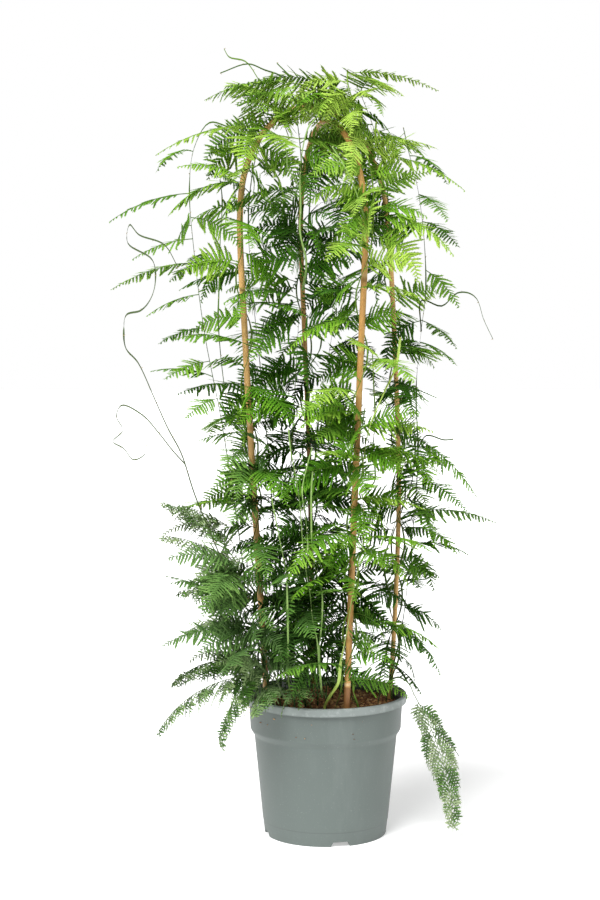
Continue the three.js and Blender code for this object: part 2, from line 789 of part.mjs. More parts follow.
leafyStems.forEach((stem, index) => {
  const curve = stemCurves[index];
  const sprays = [...tipSprays(stem, index, curve), ...(stem.tiers.count ? tierSprays(stem, index) : [])];
  let solid = stemSolids[index];
  sprays.forEach((spray) => {
    growSpray(stem, curve, spray).forEach((blade) => {
      solid = solid.add(blade);
    });
  });
  place(stem.name, solid, tones[stem.tone]);
});

export default group;
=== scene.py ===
import math
import random

import bmesh
import bpy
from mathutils import Matrix, Vector, kdtree, noise


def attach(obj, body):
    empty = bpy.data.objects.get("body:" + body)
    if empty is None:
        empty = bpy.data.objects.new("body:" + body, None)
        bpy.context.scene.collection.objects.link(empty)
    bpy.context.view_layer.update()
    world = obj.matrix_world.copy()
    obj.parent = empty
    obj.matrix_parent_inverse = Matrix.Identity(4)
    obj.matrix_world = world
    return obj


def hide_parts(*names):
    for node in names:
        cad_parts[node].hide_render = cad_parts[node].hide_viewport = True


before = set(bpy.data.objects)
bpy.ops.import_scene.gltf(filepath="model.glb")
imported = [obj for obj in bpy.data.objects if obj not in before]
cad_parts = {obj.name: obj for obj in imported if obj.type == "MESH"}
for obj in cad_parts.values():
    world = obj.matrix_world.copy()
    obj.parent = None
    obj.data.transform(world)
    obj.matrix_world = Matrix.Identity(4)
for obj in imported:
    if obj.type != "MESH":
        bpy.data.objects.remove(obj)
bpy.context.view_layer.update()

# The plant's points are in millimetres as in the CAD, Blender objects are in metres.
mm = 0.001


# One socket, so that node maths reads as an expression
class Value:
    def __init__(self, sheet, socket):
        self.sheet = sheet
        self.socket = socket

    def maths(self, operation, *values):
        return self.sheet.add("ShaderNodeMath", {"operation": operation}, dict(enumerate(values)))

    def __add__(self, other):
        return self.maths("ADD", self, other)

    def __radd__(self, other):
        return self.maths("ADD", other, self)

    def __sub__(self, other):
        return self.maths("SUBTRACT", self, other)

    def __rsub__(self, other):
        return self.maths("SUBTRACT", other, self)

    def __mul__(self, other):
        return self.maths("MULTIPLY", self, other)

    def __rmul__(self, other):
        return self.maths("MULTIPLY", other, self)

    def __truediv__(self, other):
        return self.maths("DIVIDE", self, other)

    def __mod__(self, other):
        return self.maths("FLOORED_MODULO", self, other)

    def __gt__(self, other):
        return self.maths("GREATER_THAN", self, other)

    def __lt__(self, other):
        return self.maths("LESS_THAN", self, other)

    def least(self, other):
        return self.maths("MINIMUM", self, other)

    def only(self, operation):
        return self.maths(operation, self)

    def output(self, name):
        return Value(self.sheet, self.sheet.pick(self.socket.node.outputs, name))


# A node tree, with one method that makes any node in it
class Sheet:
    def __init__(self, tree):
        self.tree = tree

    def pick(self, sockets, name):
        if isinstance(name, int):
            return sockets[name]
        return next(s for s in sockets if s.enabled and name in (None, s.name))

    def add(self, kind, settings=None, values=None, out=None):
        node = self.tree.nodes.new(kind)
        for name, setting in (settings or {}).items():
            if name == "stops":
                self.setStops(node.color_ramp, setting)
            else:
                setattr(node, name, setting)
        for name, value in (values or {}).items():
            socket = self.pick(node.inputs, name)
            for each in value if isinstance(value, list) else [value]:
                if isinstance(each, Value):
                    self.tree.links.new(each.socket, socket)
                else:
                    socket.default_value = each
        return Value(self, self.pick(node.outputs, out)) if node.outputs else node

    def setStops(self, ramp, stops):
        while len(ramp.elements) < len(stops):
            ramp.elements.new(0.5)
        for element, (place, color) in zip(ramp.elements, stops):
            element.position = place
            element.color = (*color, 1.0)

    def vector(self, operation, *values):
        return self.add("ShaderNodeVectorMath", {"operation": operation}, dict(enumerate(values)))

    def scaled(self, vector, factor):
        return self.add("ShaderNodeVectorMath", {"operation": "SCALE"}, {0: vector, "Scale": factor})

    def combine(self, x, y, z):
        return self.add("ShaderNodeCombineXYZ", None, {"X": x, "Y": y, "Z": z})

    def mixed(self, factor, first, second):
        settings = {"data_type": "RGBA", "blend_type": "MIX", "clamp_factor": True}
        paint = [(*c, 1.0) if isinstance(c, tuple) else c for c in (first, second)]
        return self.add("ShaderNodeMix", settings, {"Factor": factor, "A": paint[0], "B": paint[1]})

    def ramp(self, factor, stops):
        return self.add("ShaderNodeValToRGB", {"stops": stops}, {"Fac": factor}, "Color")

    def noise(self, where, scale, detail=2.0, roughness=0.5, distortion=0.0):
        values = {"Vector": where, "Scale": scale, "Detail": detail, "Roughness": roughness,
                  "Distortion": distortion}
        return self.add("ShaderNodeTexNoise", None, values, 0)

    def attribute(self, name, out="Fac"):
        return self.add("ShaderNodeAttribute", {"attribute_name": name}, None, out)

    def between(self, value, low, high, toLow=0.0, toHigh=1.0):
        values = {"Value": value, "From Min": low, "From Max": high, "To Min": toLow, "To Max": toHigh}
        return self.add("ShaderNodeMapRange", {"clamp": True}, values)


# A material with its sheet and its object coordinates; closeMaterial adds the Principled shader
def startMaterial(name):
    material = bpy.data.materials.new(name)
    material.use_nodes = True
    material.node_tree.nodes.clear()
    sheet = Sheet(material.node_tree)
    where = sheet.add("ShaderNodeTexCoord", None, None, "Object")
    return material, sheet, where


def closeMaterial(sheet, color, roughness, height=None, depth=0.0, fixed=None):
    values = {"Base Color": color, "Roughness": roughness, **(fixed or {})}
    if height is not None:
        bumped = {"Height": height, "Distance": depth, "Strength": 1.0}
        values["Normal"] = sheet.add("ShaderNodeBump", None, bumped)
    shader = sheet.add("ShaderNodeBsdfPrincipled", None, values, "BSDF")
    sheet.add("ShaderNodeOutputMaterial", None, {"Surface": shader})


# A geometry tree with its named inputs
def startTree(name, inputs):
    tree = bpy.data.node_groups.new(name, "GeometryNodeTree")
    tree.interface.new_socket(name="Geometry", in_out="OUTPUT", socket_type="NodeSocketGeometry")
    for label, kind in inputs.items():
        tree.interface.new_socket(name=label, in_out="INPUT", socket_type="NodeSocket" + kind)
    sheet = Sheet(tree)
    given = sheet.add("NodeGroupInput")
    return sheet, {label: given.output(label) for label in inputs}


def closeTree(sheet, parts, material):
    joined = sheet.add("GeometryNodeJoinGeometry", None, {"Geometry": parts})
    real = sheet.add("GeometryNodeRealizeInstances", None, {"Geometry": joined})
    dressed = sheet.add("GeometryNodeSetMaterial", None, {"Geometry": real, "Material": material})
    sheet.add("NodeGroupOutput", None, {"Geometry": dressed})
    return sheet.tree


def named(sheet, name, kind="FLOAT"):
    return sheet.add("GeometryNodeInputNamedAttribute", {"data_type": kind}, {"Name": name}, "Attribute")


def stored(sheet, geometry, name, value, domain="POINT", kind="FLOAT"):
    settings = {"data_type": kind, "domain": domain}
    values = {"Geometry": geometry, "Name": name, "Value": value}
    return sheet.add("GeometryNodeStoreNamedAttribute", settings, values)


def drawn(sheet, low, high, seed, number):
    values = {"Min": low, "Max": high, "Seed": seed + number}
    return sheet.add("FunctionNodeRandomValue", {"data_type": "FLOAT"}, values)


# Runs a geometry tree over a mesh and keeps the result as a plain mesh
def grow(name, tree, source, values):
    piece = bpy.data.objects.new(name, source)
    bpy.context.scene.collection.objects.link(piece)
    modifier = piece.modifiers.new("grow", "NODES")
    modifier.node_group = tree
    for item in tree.interface.items_tree:
        if item.item_type == "SOCKET" and item.in_out == "INPUT" and item.name in values:
            modifier[item.identifier] = values[item.name]
    return settle(piece)


# Applies what modifiers a piece has
def settle(piece):
    bpy.context.view_layer.update()
    depsgraph = bpy.context.evaluated_depsgraph_get()
    mesh = bpy.data.meshes.new_from_object(piece.evaluated_get(depsgraph))
    piece.modifiers.clear()
    piece.data = mesh
    mesh.name = piece.name
    return piece


def smooth(mesh, angle):
    mesh.polygons.foreach_set("use_smooth", [True] * len(mesh.polygons))
    mesh.set_sharp_from_angle(angle=math.radians(angle))


def meshFrom(name, verts, faces, material=None):
    mesh = bpy.data.meshes.new(name)
    mesh.from_pydata([tuple(v) for v in verts], [], faces)
    mesh.validate()
    if material:
        mesh.materials.append(material)
    return mesh


def addPiece(name, mesh):
    piece = bpy.data.objects.new(name, mesh)
    bpy.context.scene.collection.objects.link(piece)
    return piece


def place(piece, slot, *nodes):
    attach(piece, "root")
    if nodes:
        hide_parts(*nodes)


def mix(low, high, share):
    return low + (high - low) * share


# A smooth curve through points, with the same spacing rule as the CAD's stems and canes
class Curve:
    def __init__(self, points):
        self.points = [Vector(p) for p in points]

    def at(self, share):
        points = self.points
        last = len(points) - 1
        span = min(int(last * share), last - 1)
        weight = last * share - span
        before = points[span - 1] if span else 2 * points[0] - points[1]
        here, there = points[span], points[span + 1]
        after = points[span + 2] if span + 2 <= last else 2 * points[last] - points[last - 1]
        gaps = [math.sqrt((b - a).length) for a, b in ((before, here), (here, there), (there, after))]
        start = (here - before) / gaps[0] - (there - before) / (gaps[0] + gaps[1])
        start = (start + (there - here) / gaps[1]) * gaps[1]
        end = (there - here) / gaps[1] - (after - here) / (gaps[1] + gaps[2])
        end = (end + (after - there) / gaps[2]) * gaps[1]
        bend = 3 * (there - here) - 2 * start - end
        turn = 2 * (here - there) + start + end
        return here + start * weight + bend * weight ** 2 + turn * weight ** 3

    def placeAt(self, height):
        if height <= 1:
            return height
        rising = self.at(1).z > self.at(0).z
        low, high = 0.0, 1.0
        for _ in range(40):
            middle = (low + high) / 2
            if (self.at(middle).z < height) == rising:
                low = middle
            else:
                high = middle
        return (low + high) / 2

    def spread(self, perSpan):
        steps = perSpan * (len(self.points) - 1)
        return [self.at(i / steps) for i in range(steps + 1)]


# The plant's points, millimetres from the middle of the pot's foot
hoopLegs = {
    "left": [(-84, -28, 162), (-95, -30, 345), (-106, -32, 530), (-117, -34, 730), (-124, -35, 921)],
    "right": [(94, 22, 162), (104, 32, 330), (109, 38, 510), (103, 39, 700), (93, 33, 872)],
    "front": [(28, -88, 162), (34, -92, 340), (41, -95, 530), (48, -97, 715), (54, -99, 900)],
    "back": [(-17, 88, 162), (-20, 91, 340), (-24, 95, 545), (-31, 97, 730), (-37, 97, 900)],
}
hoops = {
    "hoop_left_to_right": {"legs": ("left", "right"), "apex": (-24, -8, 1069)},
    "hoop_front_to_back": {"legs": ("front", "back"), "apex": (-2, 0, 1048)},
}

leafyStems = [
    {
        "name": "stem_left_cane_low", "tone": "mid", "foot": (-94, -12),
        "climb": ("left", 228, 590, 106),
        "onward": [(-124, -40, 622)],
        "tiers": {"count": 7, "from": 262, "to": 616, "facing": 205, "fan": 95,
                  "length": (110, 150), "halfWidth": (34, 47)},
        "tips": [(600, (-218, -50, 589), 22, 26)],
    },
    {
        "name": "stem_left_cane_high", "tone": "bright", "foot": (-78, -46),
        "climb": ("left", 228, 861, -74),
        "onward": [(-122, -47, 905), (-120, -47, 950), (-112, -46, 990), (-97, -44, 1028),
            (-84, -42, 1058), (-87, -40, 1085), (-100, -38, 1111), (-116, -37, 1132),
            (-139, -40, 1138), (-146, -42, 1149)],
        "tiers": {"count": 11, "from": 490, "to": 1078, "facing": 215, "fan": 110,
                  "length": (110, 150), "halfWidth": (34, 47)},
        "tips": [(1040, (-244, -60, 998), 40, 30)],
    },
    {
        "name": "stem_left_outer", "tone": "mid", "foot": (-90, -46),
        "onward": [(-110, -58, 300), (-122, -56, 420), (-134, -50, 505), (-152, -42, 620),
            (-176, -36, 745), (-191, -32, 865), (-197, -30, 950), (-190, -28, 1010),
            (-168, -24, 1046), (-140, -18, 1040)],
        "tiers": {"count": 4, "from": 520, "to": 1005, "facing": 120, "fan": 80,
                  "length": (85, 115), "halfWidth": (22, 32)},
        "tips": [(945, (-311, -50, 904), 34, 28), (880, (-280, -70, 838), 30, 22),
            (846, (-312, -20, 806), 30, 26), (800, (-257, -80, 770), 30, 22),
            (752, (-243, -20, 728), 30, 22), (704, (-232, -70, 680), 26, 22),
            (650, (-200, -90, 626), 30, 24)],
    },
    {
        "name": "stem_left_behind", "tone": "dark", "foot": (-66, 22),
        "onward": [(-70, 30, 300), (-78, 40, 460), (-92, 50, 640), (-108, 56, 800),
            (-114, 54, 920), (-100, 46, 1010), (-74, 34, 1066), (-60, 30, 1096)],
        "tiers": {"count": 9, "from": 400, "to": 1085, "facing": 140, "fan": 120,
                  "length": (112, 155), "halfWidth": (36, 48)},
        "tips": [],
    },
    {
        "name": "stem_right_cane_low", "tone": "mid", "foot": (92, 44),
        "climb": ("right", 228, 640, 93),
        "onward": [(116, 26, 672)],
        "tiers": {"count": 7, "from": 285, "to": 664, "facing": -20, "fan": 120,
                  "length": (110, 150), "halfWidth": (34, 47)},
        "tips": [],
    },
    {
        "name": "stem_right_cane_high", "tone": "bright", "foot": (98, 8),
        "climb": ("right", 228, 867, -87),
        "onward": [(92, 19, 908), (88, 14, 960), (79, 10, 1005), (67, 8, 1045), (54, 6, 1078),
            (44, 4, 1100)],
        "tiers": {"count": 11, "from": 450, "to": 1090, "facing": 0, "fan": 120,
                  "length": (110, 150), "halfWidth": (34, 47)},
        "tips": [(1000, (216, 10, 929), 40, 32)],
    },
    {
        "name": "stem_right_outer", "tone": "mid", "foot": (90, -6),
        "onward": [(112, 8, 300), (126, 12, 420), (136, 16, 560), (133, 20, 660), (140, 20, 745),
            (146, 18, 800), (144, 16, 870), (134, 14, 950), (120, 12, 1006), (112, 8, 1040)],
        "tiers": {"count": 3, "from": 430, "to": 1000, "facing": 60, "fan": 90,
                  "length": (80, 110), "halfWidth": (22, 30)},
        "tips": [(944, (172, -70, 905), 36, 24), (905, (196, 60, 868), 36, 26),
            (834, (193, -10, 780), 34, 26), (760, (196, 70, 716), 30, 24),
            (728, (186, -60, 700), 30, 22), (585, (223, 10, 500), 30, 28),
            (530, (204, -40, 486), 30, 22), (500, (157, -70, 440), 34, 24),
            (420, (162, 40, 356), 36, 26)],
    },
    {
        "name": "stem_front_cane_low", "tone": "bright", "foot": (14, -84),
        "climb": ("front", 228, 610, 160),
        "onward": [(54, -112, 642)],
        "tiers": {"count": 7, "from": 268, "to": 634, "facing": -90, "fan": 115,
                  "length": (110, 150), "halfWidth": (34, 47)},
        "tips": [],
    },
    {
        "name": "stem_front_cane_high", "tone": "lime", "foot": (46, -84),
        "climb": ("front", 228, 877, -20),
        "onward": [(66, -92, 922), (64, -80, 965), (56, -66, 1005), (46, -50, 1040),
            (38, -38, 1074), (30, -28, 1104), (30, -24, 1120)],
        "tiers": {"count": 14, "from": 460, "to": 1112, "facing": -85, "fan": 125,
                  "length": (100, 140), "halfWidth": (30, 42)},
        "tips": [(1116, (161, -20, 1091), 34, 17)],
    },
    {
        "name": "stem_back_cane_low", "tone": "dark", "foot": (-34, 86),
        "climb": ("back", 228, 600, 153),
        "onward": [(-24, 78, 632)],
        "tiers": {"count": 6, "from": 290, "to": 622, "facing": 90, "fan": 150,
                  "length": (112, 155), "halfWidth": (36, 48)},
        "tips": [],
    },
    {
        "name": "stem_back_cane_high", "tone": "mid", "foot": (-2, 82),
        "climb": ("back", 228, 880, -27),
        "onward": [(-24, 94, 922), (-20, 84, 965), (-8, 66, 1005), (4, 46, 1040), (10, 30, 1075),
            (6, 24, 1104)],
        "tiers": {"count": 10, "from": 460, "to": 1098, "facing": 90, "fan": 150,
                  "length": (112, 155), "halfWidth": (36, 48)},
        "tips": [],
    },
    {
        "name": "stem_middle_left", "tone": "mid", "foot": (-12, -30),
        "onward": [(-12, -32, 290), (-24, -36, 370), (-36, -40, 460), (-50, -42, 550),
            (-46, -40, 650), (-40, -38, 760), (-34, -38, 855), (-40, -38, 920), (-36, -40, 985),
            (-42, -44, 1050), (-47, -44, 1102), (-71, -46, 1129)],
        "tiers": {"count": 11, "from": 330, "to": 1100, "facing": -110, "fan": 125,
                  "length": (110, 150), "halfWidth": (34, 47)},
        "tips": [],
    },
    {
        "name": "stem_middle_right", "tone": "dark", "foot": (10, 14),
        "onward": [(8, 12, 300), (-14, 10, 420), (-26, 8, 520), (-8, 10, 640), (12, 12, 760),
            (26, 12, 880), (30, 10, 980), (40, 6, 1050), (30, 12, 1100)],
        "tiers": {"count": 11, "from": 350, "to": 1085, "facing": 20, "fan": 160,
                  "length": (110, 150), "halfWidth": (34, 47)},
        "tips": [],
    },
    {
        "name": "spray_left_over_rim", "tone": "grey", "foot": (-66, -68),
        "onward": [(-76, -76, 240), (-98, -84, 268), (-126, -86, 276)],
        "tips": [(250, (-246, -95, 166), 70, 40), (262, (-206, -130, 160), 70, 36),
            (274, (-184, -60, 186), 60, 34), (276, (-226, -50, 232), 46, 38),
            (236, (-150, -150, 226), 50, 34)],
    },
    {
        "name": "spray_left_low", "tone": "dark", "foot": (-80, -60),
        "onward": [(-98, -84, 300), (-112, -92, 360), (-130, -94, 420)],
        "tips": [(318, (-236, -110, 300), 44, 40), (346, (-235, -70, 396), 26, 36),
            (372, (-228, -130, 372), 34, 36), (404, (-176, -190, 380), 40, 36),
            (420, (-205, -60, 470), 24, 32), (300, (-150, -190, 268), 40, 38)],
    },
    {
        "name": "spray_left_grey", "tone": "grey", "foot": (-92, 6),
        "onward": [(-108, 4, 300), (-128, 0, 400), (-146, -4, 462)],
        "tips": [(402, (-244, -20, 448), 30, 34), (436, (-244, 20, 512), 24, 36),
            (460, (-222, -50, 500), 20, 34), (360, (-222, 50, 352), 34, 36),
            (320, (-208, 0, 300), 40, 36)],
    },
    {
        "name": "spray_front_star", "tone": "grey", "foot": (-46, -74),
        "onward": [(-45, -78, 230), (-44, -82, 252)],
        "tips": [(210, (-106, -102, 242), 40, 18), (218, (26, -102, 238), 40, 18),
            (226, (-78, -150, 232), 40, 18), (234, (-8, -146, 226), 40, 18),
            (242, (-100, -70, 288), 24, 16), (250, (-4, -84, 292), 24, 16)],
    },
    {
        "name": "spray_front_low_left", "tone": "dark", "foot": (-30, -52),
        "onward": [(-34, -58, 290), (-44, -66, 350), (-56, -72, 400)],
        "tips": [(320, (-118, -150, 300), 44, 38), (350, (-20, -170, 322), 44, 38),
            (380, (-120, -120, 392), 30, 36), (396, (-52, -178, 378), 36, 36),
            (300, (-66, -150, 262), 40, 34)],
    },
    {
        "name": "spray_front_low_right", "tone": "mid", "foot": (0, -56),
        "onward": [(2, -60, 270), (8, -64, 330), (10, -66, 384)],
        "tips": [(290, (58, -160, 270), 40, 34), (330, (92, -120, 330), 34, 34),
            (360, (16, -182, 370), 36, 36), (380, (84, -140, 410), 24, 34)],
    },
    {
        "name": "spray_right_low", "tone": "dark", "foot": (80, 60),
        "onward": [(98, 70, 280), (112, 72, 340), (118, 70, 392)],
        "tips": [(300, (164, 0, 232), 50, 30), (330, (176, 80, 290), 44, 34),
            (366, (150, 150, 340), 40, 34), (388, (182, 50, 352), 40, 32)],
    },
    {
        "name": "spray_right_over_rim", "tone": "grey", "foot": (78, -22),
        "onward": [(88, -28, 228), (106, -36, 240), (121, -42, 232), (129, -46, 216)],
        "tips": [(1, (186, -58, 14), 30, 46, 90)],
    },
]

bareShoots = {
    "shoot_front_young": {
        "foot": (-2, -82),
        "onward": [(6, -90, 224), (17, -104, 246), (20, -112, 275), (29, -116, 322),
            (38, -118, 382), (50, -120, 441), (53, -121, 487), (50, -121, 524), (53, -121, 577),
            (60, -120, 615), (80, -116, 663), (98, -108, 702), (104, -100, 740)],
        "branches": [],
    },
    "shoot_left_bare": {
        "foot": (-56, -88),
        "onward": [(-72, -104, 250), (-112, -112, 340), (-152, -106, 430), (-188, -92, 515),
            (-208, -84, 575), (-227, -78, 610), (-246, -74, 652), (-270, -70, 704),
            (-287, -68, 724), (-290, -66, 751), (-286, -66, 772), (-266, -64, 778),
            (-253, -64, 792), (-245, -62, 817), (-249, -60, 850), (-284, -58, 874),
            (-281, -58, 900), (-268, -60, 886), (-232, -64, 872), (-212, -68, 840)],
        "branches": [
            [(-203, -86, 560), (-220, -92, 580), (-240, -94, 606), (-262, -92, 630),
            (-292, -88, 644), (-300, -86, 628), (-291, -86, 608), (-305, -86, 592),
            (-290, -86, 582), (-276, -88, 566), (-260, -90, 574), (-257, -90, 588)],
        ],
    },
}
tendrils = {
    "stem_right_outer": [
        [(140, 20, 745), (140, 14, 790), (169, 5, 782), (191, 0, 801), (208, 0, 801),
            (220, 0, 792), (230, 2, 763), (244, 4, 734)],
        [(135, 17, 570), (148, 6, 592), (173, 2, 586), (187, 0, 587)],
    ],
    "stem_middle_left": [
        [(-45, -44, 1075), (-62, -52, 1108), (-89, -56, 1119), (-112, -58, 1127), (-151, -60, 1114)],
    ],
}

# Bare young stems that hang or climb free of the canes, on the stem that carries them
vines = {
    "spray_front_low_right": [
        ("pale", [(-6, -66, 217), (-8, -100, 243), (-10, -128, 272), (-14, -138, 314),
                   (-20, -140, 343), (-24, -140, 383), (-30, -138, 417), (-35, -136, 464),
                   (-38, -134, 507), (-44, -132, 547), (-51, -128, 584), (-54, -122, 612)]),
        ("pale", [(-10, -128, 272), (-11, -136, 299), (-7, -134, 342), (-7, -132, 382),
                   (-17, -130, 419), (-21, -132, 449), (-22, -130, 489), (-22, -126, 527),
                   (-20, -120, 552)]),
        ("pale", [(-30, -138, 417), (-27, -140, 446), (-30, -140, 489), (-35, -138, 528),
                   (-28, -134, 562), (-21, -128, 587)]),
    ],
    "spray_front_low_left": [
        ("pale", [(-53, -62, 220), (-55, -100, 266), (-55, -130, 318), (-56, -140, 372),
                   (-58, -142, 412), (-65, -140, 450), (-72, -136, 485), (-78, -130, 516)]),
    ],
    "stem_middle_left": [
        ("pale", [(-34, -40, 807), (-29, -86, 848), (-38, -104, 890), (-37, -108, 921),
                   (-38, -112, 962), (-35, -112, 1001), (-27, -106, 1034), (-17, -96, 1048)]),
        ("pale", [(-38, -110, 949), (-44, -108, 963), (-55, -104, 979), (-58, -100, 1005),
                   (-80, -92, 1031)]),
        ("dark", [(-31, -38, 619), (-25, -76, 662), (-29, -84, 680), (-24, -88, 700), (-10, -86, 723),
                   (-7, -80, 740)]),
    ],
    "stem_front_cane_high": [
        ("pale", [(61, -100, 890), (46, -126, 928), (37, -130, 954), (23, -128, 983), (7, -120, 1008)]),
        ("dark", [(50, -100, 521), (68, -96, 535), (66, -92, 580), (69, -90, 623), (67, -86, 673),
                   (65, -84, 723)]),
    ],
    "stem_left_cane_low": [
        ("dark", [(-111, -40, 546), (-127, -62, 548), (-136, -66, 585), (-144, -66, 650),
                   (-151, -64, 707), (-155, -62, 764), (-154, -60, 807), (-152, -58, 878),
                   (-149, -56, 935), (-152, -54, 964)]),
    ],
    "stem_right_cane_low": [
        ("dark", [(98, 44, 341), (89, 10, 377), (85, -10, 410), (91, -20, 433), (105, -26, 478),
                   (120, -24, 508), (128, -20, 544), (131, -14, 587)]),
    ],
}

# The pot: a turned shell with rounded edges, drain notches in its foot and holes in its floor
potLook = {
    "color": (0.112, 0.137, 0.127),
    "cloudColor": (0.137, 0.165, 0.153),
    "rimColor": (0.42, 0.46, 0.45),
    "dust": (0.36, 0.40, 0.39),
    # dirt colour, also used for the painted shade under the rim lip
    "grimeAndShade": (0.085, 0.095, 0.09),
    "sides": 96,
    "edgeSteps": 4,
    "notchAngles": (-76.4, 13.6, 103.6, 193.6),
    "notchOutline": [(-15.5, -2), (15.5, -2), (11, 7), (-11, 7)],
    "notchAt": 87,
    "notchDepth": 20,
    "holeAt": 68,
    "holeHeight": 8,
    "holeRadius": 6,
    "holeDepth": 30,
    "holeSides": 24,
}
# radius, height and edge rounding of each profile point, millimetres
potProfile = [
    (0, 0, 0), (22, 0, 1), (24, 7, 1), (82, 7, 1.5), (84, 0, 0.8), (90, 0, 1.2), (92.4, 20, 0.3),
    (93, 22, 0.3), (105.7, 149, 2.5), (111.5, 158, 2.2), (113.6, 197, 0.8), (119.6, 198, 0.9),
    (120, 208.5, 1.1), (118.5, 210, 0.6), (115.1, 210, 1.0), (110.8, 198, 2), (108.7, 158, 2),
    (102.9, 149, 2), (89.6, 10, 2), (0, 10, 0),
]

def roundedProfile(rows, steps):
    outline = []
    for i, (radius, height, edge) in enumerate(rows):
        corner = Vector((radius, height))
        if not edge:
            outline.append(corner)
            continue
        ways = [(Vector(rows[j][:2]) - corner).normalized() for j in (i - 1, i + 1)]
        first, last = corner + ways[0] * edge, corner + ways[1] * edge
        for k in range(steps + 1):
            t = k / steps
            outline.append(first * (1 - t) ** 2 + corner * 2 * t * (1 - t) + last * t ** 2)
    return outline


def turnedMesh(name, outline, sides, material):
    verts, rings, faces = [], [], []
    for radius, height in outline:
        if radius < 1e-6:
            rings.append([len(verts)] * sides)
            verts.append((0, 0, height * mm))
            continue
        rings.append(list(range(len(verts), len(verts) + sides)))
        for i in range(sides):
            angle = 2 * math.pi * i / sides
            verts.append((radius * math.cos(angle) * mm, radius * math.sin(angle) * mm, height * mm))
    for low, high in zip(rings, rings[1:]):
        for i in range(sides):
            j = (i + 1) % sides
            loop = [low[i], low[j], high[j], high[i]]
            faces.append(list(dict.fromkeys(loop)))
    return meshFrom(name, verts, faces, material)


def prism(outline, depth, move):
    shape = bmesh.new()
    near = [shape.verts.new((x, -depth / 2, z)) for x, z in outline]
    far = [shape.verts.new((x, depth / 2, z)) for x, z in outline]
    shape.faces.new(near)
    shape.faces.new(far[::-1])
    for i in range(len(outline)):
        j = (i + 1) % len(outline)
        shape.faces.new((near[j], near[i], far[i], far[j]))
    bmesh.ops.recalc_face_normals(shape, faces=shape.faces)
    bmesh.ops.transform(shape, matrix=move, verts=shape.verts)
    return shape


def makePotMaterial():
    material, sheet, where = startMaterial("potPlastic")
    height = sheet.add("ShaderNodeSeparateXYZ", None, {"Vector": where}, "Z")
    clouds = sheet.noise(where, 9.0, 5.0, 0.6)
    grain = sheet.noise(where, 950.0, 2.0, 0.5)
    specks = sheet.between(sheet.noise(where, 420.0, 3.0, 0.7), 0.63, 0.74)
    upright = sheet.vector("MULTIPLY", where, (26.0, 26.0, 5.0))
    smears = sheet.between(sheet.noise(upright, 1.0, 6.0, 0.65), 0.52, 0.78)
    rim = sheet.between(height, 0.197, 0.2, 0.0, 1.0)
    wear = sheet.between(sheet.noise(where, 60.0, 5.0, 0.7), 0.5, 0.68) * rim
    lowDirt = sheet.between(height, 0.0, 0.03, 1.0, 0.0) * sheet.between(clouds, 0.35, 0.7)
    ringLine = sheet.between((height - 0.021).only("ABSOLUTE"), 0.0, 0.0012, 1.0, 0.0)
    # painted shade: a thin dark band just under the rim lip, where the lip shades the wall
    underRimShade = sheet.between((height - 0.195).only("ABSOLUTE"), 0.0, 0.003, 1.0, 0.0)
    base = sheet.mixed(clouds * 0.5, potLook["color"], potLook["cloudColor"])
    base = sheet.mixed(specks * 0.35 + smears * 0.12, base, potLook["dust"])
    base = sheet.mixed(rim * 0.35 + wear * 0.35, base, potLook["rimColor"])
    # real dirt at the foot and on the ring line, painted shade under the rim lip
    base = sheet.mixed(lowDirt * 0.3 + ringLine * 0.45 + underRimShade * 0.2, base, potLook["grimeAndShade"])
    rough = 0.42 + clouds * 0.14 + smears * 0.12 + specks * 0.1
    bump = grain * 0.5 + specks * 0.35 + wear * 0.5
    closeMaterial(sheet, base, rough, bump, 0.00012, {"Specular IOR Level": 0.4})
    return material


def makePot():
    outline = roundedProfile(potProfile, potLook["edgeSteps"])
    body = turnedMesh("nursery_pot", outline, potLook["sides"], makePotMaterial())
    pot = addPiece("nursery_pot", body)
    cutter = bmesh.new()
    look = potLook
    around = [2 * math.pi * i / look["holeSides"] for i in range(look["holeSides"])]
    circle = [(look["holeRadius"] * mm * math.cos(a), look["holeRadius"] * mm * math.sin(a)) for a in around]
    trapezium = [(x * mm, z * mm) for x, z in look["notchOutline"]]
    upright = Matrix.Rotation(math.pi / 2, 4, "X")
    for angle in look["notchAngles"]:
        turn = Matrix.Rotation(math.radians(angle + 90), 4, "Z")
        outward = turn @ Matrix.Translation((0, -look["notchAt"] * mm, 0))
        notch = prism(trapezium, look["notchDepth"] * mm, outward)
        hole = prism(circle, look["holeDepth"] * mm,
                     turn @ Matrix.Translation((0, -look["holeAt"] * mm, look["holeHeight"] * mm)) @ upright)
        for shape in (notch, hole):
            part = bpy.data.meshes.new("cut")
            shape.to_mesh(part)
            shape.free()
            cutter.from_mesh(part)
    cutMesh = bpy.data.meshes.new("potCuts")
    cutter.to_mesh(cutMesh)
    cutter.free()
    cuts = addPiece("potCuts", cutMesh)
    carve = pot.modifiers.new("carve", "BOOLEAN")
    carve.operation = "DIFFERENCE"
    carve.solver = "EXACT"
    carve.object = cuts
    settle(pot)
    bpy.data.objects.remove(cuts)
    smooth(pot.data, 28)
    place(pot, "pot_plastic", "pot")
    print("pot:", len(pot.data.polygons), "faces")


makePot()

# The soil: a lumpy coir body, with crumbs and fibres strewn over its top
soilLook = {
    "top": 196.0,
    "lump": 2.4,
    "edgeRadius": 109.6,
    "rings": 30,
    "sides": 96,
    "crumbsPerSquareMetre": 26000.0,
    "crumbSize": 2.2,
    "fibresPerSquareMetre": 6000.0,
    "roughness": 0.9,
    "dip": 5.0,
    "dipFrom": 94.0,
    "dipWidth": 16.0,
    # how far in from the edge and how high each ring of the hidden wall is
    "wall": [(0.4, 188), (3, 160), (7, 150), (20, 12)],
    "bottom": 11,
    "crumbsAbove": 186.0,
    "darkColor": (0.06, 0.022, 0.009),
    "tanColor": (0.7, 0.44, 0.2),
    "seed": 11,
}


